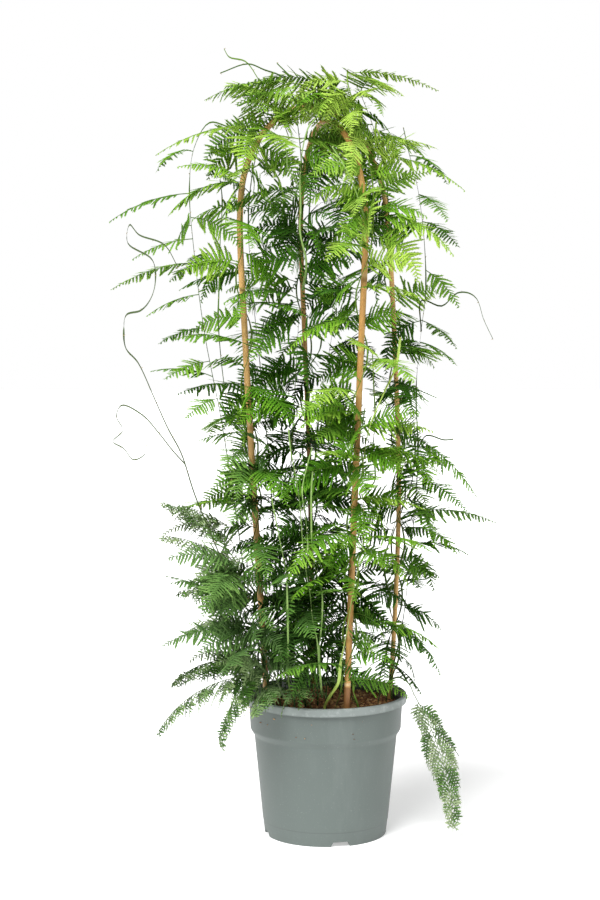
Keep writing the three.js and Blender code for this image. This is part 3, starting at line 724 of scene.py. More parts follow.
def soilHeight(x, y):
    coarse = math.sin(0.083 * x + 0.6) * math.cos(0.071 * y - 0.4)
    fine = math.sin(0.19 * x - 0.13 * y + 1.1)
    return soilLook["top"] + soilLook["lump"] * (0.6 * coarse + 0.4 * fine)


def makeSoilMaterial(name, dark, tan):
    material, sheet, where = startMaterial(name)
    shade = sheet.attribute("shade")
    lumps = sheet.noise(where, 240.0, 4.0, 0.6)
    fine = sheet.noise(where, 900.0, 3.0, 0.7)
    pick = (shade * 0.75 + lumps * 0.55 - 0.12).least(1.0)
    color = sheet.ramp(pick, [(0.0, dark), (0.35, (0.24, 0.095, 0.034)), (0.6, (0.45, 0.21, 0.08)),
                              (0.88, tan), (1.0, (0.78, 0.54, 0.28))])
    rough = 0.8 + fine * 0.15
    closeMaterial(sheet, color, rough, lumps + fine * 0.6, 0.0006)
    return material


def buildCrumbTree():
    sheet, given = startTree("strewCrumbs", {
        "Ground": "Geometry", "Crumbs": "Float", "Crumb Size": "Float", "Fibres": "Float",
        "Seed": "Int", "Material": "Material"})
    parts = []
    plans = [
        ("Crumbs", {"Radius": given["Crumb Size"], "Subdivisions": 1}, (1.0, 1.15, 0.75), 0.45, 1.7, 0),
        ("Fibres", {"Radius": given["Crumb Size"], "Subdivisions": 1}, (0.35, 3.4, 0.3), 0.6, 1.5, 20),
    ]
    top = named(sheet, "top")
    for label, size, stretch, least, most, number in plans:
        spots = sheet.add("GeometryNodeDistributePointsOnFaces", {"distribute_method": "RANDOM"},
                          {"Mesh": given["Ground"], "Selection": top > 0.5, "Density": given[label],
                           "Seed": given["Seed"] + number})
        ball = sheet.add("GeometryNodeMeshIcoSphere", None, size)
        grain = sheet.add("GeometryNodeTransform", None, {"Geometry": ball, "Scale": stretch})
        turn = sheet.combine(drawn(sheet, -0.5, 0.5, given["Seed"], number + 1),
                             drawn(sheet, -0.5, 0.5, given["Seed"], number + 2),
                             drawn(sheet, 0.0, 6.28, given["Seed"], number + 3))
        scale = drawn(sheet, least, most, given["Seed"], number + 4)
        strewn = sheet.add("GeometryNodeInstanceOnPoints", None,
                           {"Points": spots, "Instance": grain, "Rotation": turn, "Scale": scale})
        shade = drawn(sheet, 0.0, 1.0, given["Seed"], number + 5)
        parts.append(stored(sheet, strewn, "shade", shade, "INSTANCE"))
    return closeTree(sheet, parts, given["Material"])


def makeSoil():
    rings, sides, edge = soilLook["rings"], soilLook["sides"], soilLook["edgeRadius"]
    outline = [(edge * i / rings, None) for i in range(1, rings + 1)]
    outline += [(edge - inset, height) for inset, height in soilLook["wall"]]
    verts = [(0, 0, soilHeight(0, 0) * mm)]
    loops = [[0] * sides]
    for radius, height in outline:
        loops.append(list(range(len(verts), len(verts) + sides)))
        for i in range(sides):
            angle = 2 * math.pi * i / sides
            x, y = radius * math.cos(angle), radius * math.sin(angle)
            z = height
            if z is None:
                rough = noise.fractal(Vector((x, y, 3.0)) * 0.11, 1.0, 2.1, 4)
                dip = max(0, (radius - soilLook["dipFrom"]) / soilLook["dipWidth"]) ** 2
                z = soilHeight(x, y) + soilLook["roughness"] * rough - soilLook["dip"] * dip
            verts.append((x * mm, y * mm, z * mm))
    loops.append([len(verts)] * sides)
    verts.append((0, 0, soilLook["bottom"] * mm))
    faces = []
    for low, high in zip(loops, loops[1:]):
        for i in range(sides):
            j = (i + 1) % sides
            faces.append(list(dict.fromkeys([low[i], high[i], high[j], low[j]])))
    material = makeSoilMaterial("coirSoil", soilLook["darkColor"], soilLook["tanColor"])
    ground = meshFrom("potting_soil", verts, faces, material)
    topMask = ground.attributes.new("top", "FLOAT", "POINT")
    shade = ground.attributes.new("shade", "FLOAT", "POINT")
    for i, vert in enumerate(verts):
        topMask.data[i].value = 1.0 if vert[2] > soilLook["crumbsAbove"] * mm else 0.0
        shade.data[i].value = 0.25
    smooth(ground, 60)
    soil = addPiece("potting_soil", ground)
    crumbs = grow("soil_crumbs", buildCrumbTree(), ground.copy(), {
        "Crumbs": soilLook["crumbsPerSquareMetre"], "Crumb Size": soilLook["crumbSize"] * mm,
        "Fibres": soilLook["fibresPerSquareMetre"], "Seed": soilLook["seed"], "Material": material})
    place(soil, "soil", "soil")
    place(crumbs, "soil")
    print("soil:", len(crumbs.data.polygons), "faces of crumbs")


makeSoil()


# A curled pale chip of bark that lies on the soil near the rim
chipLook = {
    "at": (-72, -86),
    "curl": (11, 7.5),
    "sweep": (20, 160),
    "steps": 14,
    "thickness": 1.1,
    "halfWidth": (0.6, 3.8),
    "tilt": 0.9,
}


def makeChip():
    material, sheet, where = startMaterial("paleBark")
    streaks = sheet.noise(sheet.vector("MULTIPLY", where, (300.0, 300.0, 900.0)), 1.0, 4.0, 0.6)
    color = sheet.ramp(streaks, [(0.25, (0.42, 0.27, 0.14)), (0.6, (0.78, 0.66, 0.46))])
    closeMaterial(sheet, color, 0.7 + streaks * 0.2, streaks, 0.0004)
    verts, faces = [], []
    look, steps, thick, tilt = chipLook, chipLook["steps"], chipLook["thickness"], chipLook["tilt"]
    for i in range(steps + 1):
        along = i / steps
        bulge = math.sin(math.pi * along)
        bend = math.radians(mix(*look["sweep"], along))
        x = look["at"][0] - look["curl"][0] * math.cos(bend)
        y = look["at"][1] + look["curl"][1] * math.sin(bend)
        middle = Vector((x, y, soilHeight(x, y) + 1.2 + 1.2 * bulge))
        half = mix(*look["halfWidth"], bulge ** 0.7)
        out = Vector((-math.cos(bend), math.sin(bend), 0.0))
        for side, lift in ((-1, 0), (1, tilt), (1, tilt + thick), (-1, thick)):
            verts.append((middle + out * half * side + Vector((0, 0, lift))) * mm)
    for i in range(steps):
        for k in range(4):
            a, b = 4 * i + k, 4 * i + (k + 1) % 4
            faces.append([a, b, b + 4, a + 4])
    faces += [[3, 2, 1, 0], [4 * steps + k for k in range(4)]]
    chip = addPiece("pale_bark_chip", meshFrom("pale_bark_chip", verts, faces, material))
    rounding = chip.modifiers.new("round", "SUBSURF")
    rounding.levels = rounding.render_levels = 2
    settle(chip)
    smooth(chip.data, 60)
    place(chip, "soil")


makeChip()

# The bamboo canes: swept with joints, tapering from butt to tip
caneLook = {
    "buttRadius": 5.4,
    "thinRadius": 3.9,
    "sides": 14,
    "step": 6.0,
    "jointGap": 172.0,
    "jointSwell": 0.05,
    "jointWidth": 3.0,
    "stepsPerSpan": 24,
    "slimness": 0.88,
    "archSteps": 4,
}
# what differs between the two canes: shift moves the grain, jointOffset the rings, foot is the first ring,
# and the last value is where painted shade on the far leg begins
caneFinishes = {
    "hoop_left_to_right": {
        "name": "bamboo_left_to_right", "gold": (0.92, 0.57, 0.2), "brown": (0.36, 0.17, 0.05),
        "shift": 0.0, "jointOffset": 70.0, "foot": 0.0, "backLegShadeFrom": 3.0,
    },
    "hoop_front_to_back": {
        "name": "bamboo_front_to_back", "gold": (0.72, 0.43, 0.12), "brown": (0.38, 0.15, 0.045),
        "shift": 40.0, "jointOffset": 26.0, "foot": 0.076, "backLegShadeFrom": 1.1,
    },
}


def hoopCurve(hoop):
    near, far = [hoopLegs[leg] for leg in hoop["legs"]]
    apex = hoop["apex"]

    def arch(leg):
        x, y, z = leg[-1]
        steps = caneLook["archSteps"]
        bends = [math.pi / 2 * (i + 1) / steps for i in range(steps - 1)]
        return [(mix(apex[0], x, math.cos(b)), mix(apex[1], y, math.cos(b)), mix(z, apex[2], math.sin(b)))
                for b in bends]

    return Curve([*near, *arch(near), apex, *reversed(arch(far)), *reversed(far)])


def buildCaneTree():
    sheet, given = startTree("sweepCane", {
        "Path": "Geometry", "Step": "Float", "Sides": "Int", "Joint Gap": "Float", "Joint Swell": "Float",
        "Joint Width": "Float", "Joint Offset": "Float", "Material": "Material"})
    path = sheet.add("GeometryNodeMeshToCurve", None, {"Mesh": given["Path"]})
    path = sheet.add("GeometryNodeResampleCurve", {"mode": "LENGTH"},
                     {"Curve": path, "Length": given["Step"]})
    length = sheet.add("GeometryNodeSplineParameter", None, None, "Length")
    phase = (length + given["Joint Offset"]) % given["Joint Gap"]
    apart = phase.least(given["Joint Gap"] - phase) / given["Joint Width"]
    ridge = (apart * apart * -1.0).only("EXPONENT")
    below = (phase - given["Joint Width"] * 2.2) / given["Joint Width"]
    groove = (below * below * -1.4).only("EXPONENT")
    path = stored(sheet, path, "along", length)
    path = stored(sheet, path, "joint", ridge)
    path = stored(sheet, path, "sheath", groove)
    swell = ridge * given["Joint Swell"] - groove * given["Joint Swell"] * 0.45
    radius = named(sheet, "girth") * (1.0 + swell)
    ring = sheet.add("GeometryNodeCurvePrimitiveCircle", {"mode": "RADIUS"},
                     {"Resolution": given["Sides"], "Radius": 1.0}, "Curve")
    spot = sheet.add("GeometryNodeInputPosition")
    ring = stored(sheet, ring, "rim", spot, "POINT", "FLOAT_VECTOR")
    cane = sheet.add("GeometryNodeCurveToMesh", None,
                     {"Curve": path, "Profile Curve": ring, "Scale": radius, "Fill Caps": True})
    return closeTree(sheet, [cane], given["Material"])


def makeBambooMaterial(finish):
    gold, brown, foot = finish["gold"], finish["brown"], finish["foot"]
    material, sheet, where = startMaterial(finish["name"])
    rim = sheet.attribute("rim", "Vector")
    along = sheet.attribute("along")
    joint, sheath = sheet.attribute("joint"), sheet.attribute("sheath")
    run = sheet.combine(0.0, 0.0, along * 14.0 + finish["shift"])
    grainSpace = sheet.vector("ADD", sheet.scaled(rim, 3.2), run)
    streaks = sheet.noise(grainSpace, 2.6, 6.0, 0.65, 0.2)
    fine = sheet.noise(sheet.vector("ADD", sheet.scaled(rim, 9.0), run), 3.5, 4.0, 0.6)
    clouds = sheet.noise(sheet.vector("ADD", sheet.scaled(rim, 0.7), run), 0.9, 4.0, 0.6)
    specks = sheet.between(sheet.noise(where, 620.0, 2.0, 0.6), 0.66, 0.75)
    color = sheet.ramp(clouds * 0.55 + streaks * 0.45,
                       [(0.28, brown), (0.45, tuple(mix(b, g, 0.65) for b, g in zip(brown, gold))),
                        (0.62, gold), (0.85, tuple(min(1.0, g * 1.35) for g in gold))])
    color = sheet.mixed(fine * 0.35, color, brown)
    color = sheet.mixed(sheath * 0.55, color, (0.72, 0.55, 0.3))
    color = sheet.mixed(joint * 0.5, color, (0.16, 0.07, 0.025))
    color = sheet.mixed(specks * 0.45, color, (0.16, 0.08, 0.03))
    # the butt below its first ring is red-brown, and the far leg is painted darker as shade, standing back
    # in the foliage's shadow
    butt = sheet.between(along + clouds * 0.004, foot, foot + 0.002, 1.0, 0.0)
    ring = sheet.between((along - foot - 0.003).only("ABSOLUTE"), 0.001, 0.003, 1.0, 0.0)
    # painted shade on the far leg, darker from this point along the cane
    backLegShade = sheet.between(along, finish["backLegShadeFrom"], finish["backLegShadeFrom"] + 0.35)
    color = sheet.mixed(butt * 0.75, color, (0.2, 0.075, 0.03))
    color = sheet.mixed(ring * 0.7, color, (0.8, 0.62, 0.38))
    color = sheet.mixed(backLegShade * 0.7, color, (0.15, 0.07, 0.025))
    rough = 0.36 + streaks * 0.22 + joint * 0.2
    closeMaterial(sheet, color, rough, streaks * 0.5 + fine * 0.6 + joint * 0.6, 0.00025,
                  {"Specular IOR Level": 0.45})
    return material


def makeCanes():
    tree = buildCaneTree()
    look = caneLook
    for node, finish in caneFinishes.items():
        name = finish["name"]
        points = hoopCurve(hoops[node]).spread(look["stepsPerSpan"])
        path = bpy.data.meshes.new(name)
        path.from_pydata([tuple(p * mm) for p in points], [(i, i + 1) for i in range(len(points) - 1)], [])
        girth = path.attributes.new("girth", "FLOAT", "POINT")
        for i in range(len(points)):
            radius = mix(look["buttRadius"], look["thinRadius"], i / (len(points) - 1))
            girth.data[i].value = look["slimness"] * radius * mm
        cane = grow(name, tree, path, {
            "Step": look["step"] * mm, "Sides": look["sides"], "Joint Gap": look["jointGap"] * mm,
            "Joint Swell": look["jointSwell"], "Joint Width": look["jointWidth"] * mm,
            "Joint Offset": finish["jointOffset"] * mm, "Material": makeBambooMaterial(finish)})
        smooth(cane.data, 50)
        place(cane, "bamboo", node)
        print("cane:", name, len(cane.data.polygons), "faces")


makeCanes()

# Stems and sprays. A stem rises from the soil, may climb round one leg of a hoop and goes on through
# its own points. Sprays are set along it by tiers or by rows that reach for one place.
stemLook = {
    "soilTop": 196, "footStart": -20, "footRise": 10,
    "twineStep": 25, "twinePitch": 160, "twineReach": 9.9,
    "girths": (1.8, 1.1),
    "tendrilGirths": (1.35, 0.85),
    "vineGirths": (1.75, 1.25),
    "stepsPerSpan": 5,
}
sprayRule = {
    "petioleEnd": 0.14, "widestAt": 0.27, "firstReach": 0.62, "taper": 0.85,
    "slant": 0.5, "arch": 0.3, "tries": 20, "turn": 8, "lift": 5, "shorten": 0.03,
}
fillLook = {
    "rise": (-10, 45), "droop": (40, 95), "length": (66, 108),
    "halfWidth": (22, 36), "roll": (20, 72), "crowding": 1.3,
}
# The low stems whose extra sprays are shorter or narrower than the rest
fillScale = {"spray_front_star": (0.55, 0.32), "spray_left_over_rim": (0.85, 0.8)}
# Stem, lowest and highest root, side faced, how far to either side, how many, seed
fillPlan = [
    ("stem_left_cane_low", 240, 600, 195, 120, 15, 1000),
    ("stem_left_cane_high", 430, 1070, 225, 140, 16, 1591),
    ("stem_left_outer", 420, 1000, 100, 120, 4, 1389),
    ("stem_left_behind", 300, 1080, 110, 150, 18, 2279),
    ("stem_right_cane_low", 240, 668, -20, 130, 12, 1895),
    ("stem_right_cane_high", 400, 1085, 0, 130, 17, 2330),
    ("stem_right_outer", 330, 1000, 120, 120, 4, 2362),
    ("stem_front_cane_low", 240, 640, -120, 120, 20, 2823),
    ("stem_front_cane_low", 360, 636, -90, 55, 9, 1234),
    ("stem_front_cane_high", 400, 940, -120, 120, 24, 2010),
    ("stem_front_cane_high", 900, 1105, -100, 130, 20, 2744),
    ("stem_back_cane_low", 240, 628, 90, 150, 13, 1996),
    ("stem_back_cane_high", 400, 1090, 90, 150, 20, 2249),
    ("stem_middle_left", 250, 900, -110, 150, 26, 3321),
    ("stem_middle_left", 860, 1090, -110, 140, 14, 2391),
    ("stem_middle_right", 250, 1080, 60, 150, 24, 3177),
    ("stem_left_cane_high", 940, 1085, -90, 110, 8, 3339),
    ("stem_right_cane_high", 920, 1095, -110, 110, 8, 3345),
    ("spray_left_over_rim", 226, 275, 205, 110, 10, 2766),
    ("spray_left_low", 240, 418, 205, 120, 17, 3474),
    ("spray_left_grey", 240, 460, 190, 120, 10, 3896),
    ("spray_front_star", 214, 250, 270, 110, 10, 3694),
    ("stem_middle_left", 250, 520, -100, 120, 6, 513),
    ("stem_middle_right", 250, 520, -80, 130, 6, 514),
    ("spray_front_low_left", 240, 398, -100, 90, 5, 511),
    ("spray_front_low_right", 240, 382, -60, 90, 5, 512),
    ("spray_left_low", 260, 418, 200, 100, 4, 515),
    ("spray_front_low_left", 240, 398, 220, 120, 11, 3661),
    ("spray_front_low_right", 240, 382, -110, 100, 9, 3147),
    ("spray_right_low", 240, 390, 10, 150, 6, 4024),
]


def chance(a, b, c):
    h = ((a + 1) * 0x9E3779B1 ^ (b + 1) * 0x85EBCA6B ^ (c + 1) * 0xC2B2AE35) & 0xFFFFFFFF
    h = (h ^ h >> 15) * 0x2C1B3C6D & 0xFFFFFFFF
    h = (h ^ h >> 12) * 0x297A2D39 & 0xFFFFFFFF
    return (h ^ h >> 15) / 4294967296


def twine(leg, low, high, start):
    cane = Curve(hoopLegs[leg])
    count = round((high - low) / stemLook["twineStep"])
    points = []
    for i in range(count + 1):
        height = mix(low, high, i / count)
        centre = cane.at(cane.placeAt(height))
        angle = math.radians(start) + 2 * math.pi * (height - low) / stemLook["twinePitch"]
        reach = stemLook["twineReach"]
        points.append((centre.x + reach * math.cos(angle), centre.y + reach * math.sin(angle), height))
    return points


def stemCurve(stem):
    x, y = stem["foot"]
    rise = [(x, y, stemLook["soilTop"] + stemLook[end]) for end in ("footStart", "footRise")]
    return Curve(rise + (twine(*stem["climb"]) if "climb" in stem else []) + stem["onward"])


def tierSprays(stem, index):
    tiers = stem["tiers"]
    sprays = []
    for i in range(tiers["count"]):
        draw = [chance(index, i, n) for n in range(6)]
        sprays.append({
            "height": mix(tiers["from"], tiers["to"], i / (tiers["count"] - 1)),
            "azimuth": tiers["facing"] + (1 if i % 2 else -1) * tiers["fan"] * mix(0.2, 1, draw[0]),
            "rise": mix(2, 30, draw[1]), "droop": mix(32, 72, draw[2]),
            "length": mix(*tiers["length"], draw[3]), "halfWidth": mix(*tiers["halfWidth"], draw[4]),
            "roll": mix(-26, 26, draw[5]),
        })
    return sprays


def tipSprays(stem, index, curve):
    sprays = []
    for i, (height, tip, droop, halfWidth, *roll) in enumerate(stem["tips"]):
        reach = Vector(tip) - curve.at(curve.placeAt(height))
        bow = math.radians(droop) / 2
        sprays.append({
            "height": height, "azimuth": math.degrees(math.atan2(reach.y, reach.x)),
            "rise": math.degrees(math.asin(reach.z / reach.length)) + droop / 2, "droop": droop,
            "length": reach.length * bow / math.sin(bow), "halfWidth": halfWidth,
            "roll": roll[0] if roll else mix(-24, 24, chance(index, i, 9)),
        })
    return sprays


# Younger, shorter sprays that fill in between the tiers, more of them towards the top
def fillSprays(name, low, high, facing, fan, count, seed):
    longer, wider = fillScale.get(name, (1, 1))
    sprays = []
    for i in range(count):
        draw = [chance(seed, i, n) for n in range(7)]
        sprays.append({
            "height": mix(low, high, 1 - (1 - (i + draw[6]) / count) ** fillLook["crowding"]),
            "azimuth": facing + mix(-fan, fan, draw[0]),
            "rise": mix(*fillLook["rise"], draw[1]), "droop": mix(*fillLook["droop"], draw[2]),
            "length": mix(*fillLook["length"], draw[3]) * longer,
            "halfWidth": mix(*fillLook["halfWidth"], draw[4]) * wider,
            "roll": mix(*fillLook["roll"], draw[5]) * (1 if i % 2 else -1),
        })
    return sprays


def variant(spray, n):
    way = 1 if n % 2 else -1
    return {
        **spray,
        "azimuth": spray["azimuth"] + way * sprayRule["turn"] * math.ceil(n / 2),
        "rise": spray["rise"] + sprayRule["lift"] * ((n * 2) % 5 - (2 if n else 0)),
        "length": spray["length"] * (1 - sprayRule["shorten"] * n),
    }


def heading(spray, s):
    rise = math.radians(spray["rise"] - spray["droop"] * s)
    azimuth = math.radians(spray["azimuth"])
    along = Vector((math.cos(rise) * math.cos(azimuth), math.cos(rise) * math.sin(azimuth), math.sin(rise)))
    level = Vector((-math.sin(azimuth), math.cos(azimuth), 0))
    across = Matrix.Rotation(math.radians(spray["roll"]), 3, along) @ level
    return along, across, along.cross(across)


def ribPlace(root, spray, s):
    half = math.radians(spray["droop"]) * s / 2
    chord = math.sin(half) / half if half > 1e-6 else 1
    return root + heading(spray, s / 2)[0] * spray["length"] * s * chord


def reachAt(s):
    rule = sprayRule
    if s < rule["widestAt"]:
        return mix(rule["firstReach"], 1, (s - rule["petioleEnd"]) / (rule["widestAt"] - rule["petioleEnd"]))
    return ((1 - s) / (1 - rule["widestAt"])) ** rule["taper"]


# Edges of one piece, with what the growing tree reads at each point
class Skeleton:
    def __init__(self):
        self.points, self.edges = [], []
        self.data = {"girth": [], "kind": [], "tone": [], "pale": [], "size": [], "light": []}
        self.up = []

    def line(self, points, kind, girths, tones, pale, sizes=(1, 1), up=None, light=0):
        first, count = len(self.points), len(points)
        for i, point in enumerate(points):
            share = i / (count - 1)
            self.points.append(tuple(point * mm))
            values = (mix(*girths, share) * mm, kind, mix(*tones, share), pale, mix(*sizes, share), light)
            for name, value in zip(self.data, values):
                self.data[name].append(value)
            self.up.append(tuple(up[i]) if up else (0, 0, 1))
        self.edges += [(first + i, first + i + 1) for i in range(count - 1)]

    def mesh(self, name):
        mesh = bpy.data.meshes.new(name)
        mesh.from_pydata(self.points, self.edges, [])
        for label, values in self.data.items():
            mesh.attributes.new(label, "FLOAT", "POINT").data.foreach_set("value", values)
        flat = [part for way in self.up for part in way]
        mesh.attributes.new("up", "FLOAT_VECTOR", "POINT").data.foreach_set("vector", flat)
        return mesh


# What a spray of each tone looks like: place on the green ramp, greyness and the size of its parts
toneLook = {
    "lime": {"tone": 0.69, "pale": 0.0, "gap": 5.1, "blade": 2.5},
    "bright": {"tone": 0.6, "pale": 0.0, "gap": 5.2, "blade": 2.5},
    "mid": {"tone": 0.53, "pale": 0.03, "gap": 5.3, "blade": 2.5},
    "dark": {"tone": 0.42, "pale": 0.05, "gap": 5.4, "blade": 2.5},
    "grey": {"tone": 0.58, "pale": 0.4, "gap": 5.4, "blade": 2.3},
}
growLook = {
    "tuftGap": 2.7,
    "tuftLength": 5.3,
    "needleWidth": 1.25,
    "needleFlatness": 0.16,
    "branchFlatness": 0.14,
    "spread": 0.75,
    "scaleGap": 27.0,
    "scaleLength": 3.2,
    "stemSides": 6,
    "branchSides": 3,
    "seed": 7,
}
# Side branches: how much each one's reach, slant, arch and twist may differ from the rule's
branchLook = {
    "start": -0.015, "end": 0.985, "jitter": 0.006, "leastReach": 3.2, "reach": (0.62, 1.12),
    "slant": (0.5, 1.5), "arch": (0.0, 1.5), "twist": 0.45, "cup": 0.45, "bowed": 15,
    "leastSize": 0.45, "fullSizeSpan": 26,
    "tipBlade": 0.6, "tipSize": 0.7, "rib": (0.7, 0.3), "ribSteps": 9,
}
laceLook = {
    "gap": 9.5, "from": 0.06, "to": 0.94, "extra": 8, "sag": 0.25, "droop": 34, "halfWidth": 9.0,
    "featherGap": 4.2, "blade": 2.5, "end": 0.76, "deepShare": 0.3, "deepTone": 0.22, "deepPale": 0.3,
    "rib": (0.6, 0.5), "ribShade": 0.25, "roll": 30,
}
# How much brighter leaves get with height, and paler near the soil
heightLook = {
    "from": 300, "span": 800, "gain": 0.14, "level": 0.45, "paleBelow": 480, "paleSpan": 250, "pale": 0.1,
}
# How grey a stem's leaves are, where that isn't its tone's own, and which stems bear the looser sprays
paleness = {
    "spray_right_over_rim": 1.0, "spray_left_grey": 0.7, "spray_left_over_rim": 0.5, "spray_front_star": 0.4,
    "spray_left_low": 0.3, "stem_left_cane_low": 0.2, "spray_front_low_left": 0.12,
}
lacy = ("spray_right_over_rim", "spray_left_grey", "spray_left_over_rim")


def addRib(skeleton, root, spray, look, tone, pale):
    along = [i / branchLook["ribSteps"] for i in range(branchLook["ribSteps"] + 1)]
    rib = [ribPlace(root, spray, s) for s in along]
    ups = [heading(spray, s)[2] for s in along]
    tone -= look.get("ribShade", 0)
    girths = look.get("rib", branchLook["rib"])
    skeleton.line(rib, 0, girths, (tone - 0.06, tone + 0.08), pale, (0.6, 0.3), ups)


def addSpray(skeleton, root, spray, look, draw):
    tone = look["tone"] + draw.uniform(-0.08, 0.08)
    pale = min(1, max(0, look["pale"] + draw.uniform(-0.06, 0.06)))
    addRib(skeleton, root, spray, look, tone, pale)
    rule = branchLook
    end = look.get("end", rule["end"])
    steps = int((end - sprayRule["petioleEnd"]) * spray["length"] / look["gap"] * 2)
    for k in range(steps + 1):
        s = mix(sprayRule["petioleEnd"] + rule["start"], end, k / max(1, steps))
        s += draw.uniform(-rule["jitter"], rule["jitter"])
        side = 1 if k % 2 else -1
        way, across, up = heading(spray, s)
        reach = max(rule["leastReach"], spray["halfWidth"] * reachAt(s) * draw.uniform(*rule["reach"]))
        slant = reach * sprayRule["slant"] * draw.uniform(*rule["slant"])
        arch = reach * sprayRule["arch"] * draw.uniform(*rule["arch"])
        start = ribPlace(root, spray, s)
        twist = draw.uniform(-rule["twist"], rule["twist"])
        points, tilts = [], []
        bends = 2 if reach < rule["bowed"] else 3
        for j in range(bends + 1):
            u = j / bends
            forward = way * slant * u * (0.72 + 0.28 * u)
            points.append(start + across * side * reach * u + forward - up * arch * u ** 1.6)
            tilts.append((up + across * side * rule["cup"] * math.sqrt(u) + way * twist).normalized())
        size = min(1, rule["leastSize"] + reach / rule["fullSizeSpan"])
        blade = look["blade"] * size
        skeleton.line(points, 1, (blade, blade * rule["tipBlade"]), (tone - 0.07, tone + 0.08), pale,
                      (size, size * rule["tipSize"]), tilts)


# A looser spray whose side branches are little feathers themselves, each with a bare tip
def addLace(skeleton, root, spray, look, draw):
    addRib(skeleton, root, spray, look, look["tone"] - 0.1, look["pale"])
    count = round(spray["length"] / laceLook["gap"]) * 2
    for k in range(count):
        s = mix(laceLook["from"], laceLook["to"], k / (count - 1))
        side = 1 if k % 2 else -1
        way, across, up = heading(spray, s)
        reach = spray["halfWidth"] * reachAt(max(s, sprayRule["petioleEnd"])) * draw.uniform(0.8, 1.1)
        aim = way * 0.7 + across * side * 0.85 - up * draw.uniform(0.0, 0.5)
        aim = (aim - Vector((0, 0, laceLook["sag"]))).normalized()
        level = Vector((-aim.y, aim.x, 0)).normalized()
        wide = up.cross(aim)
        lie = math.atan2(wide.dot(aim.cross(level)), wide.dot(level))
        feather = {
            "azimuth": math.degrees(math.atan2(aim.y, aim.x)), "rise": math.degrees(math.asin(aim.z)),
            "droop": laceLook["droop"], "length": reach + laceLook["extra"],
            "halfWidth": laceLook["halfWidth"] * draw.uniform(0.85, 1.2),
            "roll": math.degrees(lie) + draw.uniform(-laceLook["roll"], laceLook["roll"]),
        }
        deep = draw.random() < laceLook["deepShare"]
        finer = {
            **look, "gap": laceLook["featherGap"],
            "tone": look["tone"] - (laceLook["deepTone"] if deep else 0),
            "pale": look["pale"] * (laceLook["deepPale"] if deep else 1),
            **{key: laceLook[key] for key in ("blade", "end", "rib", "ribShade")},
        }
        addSpray(skeleton, ribPlace(root, spray, s), feather, finer, draw)


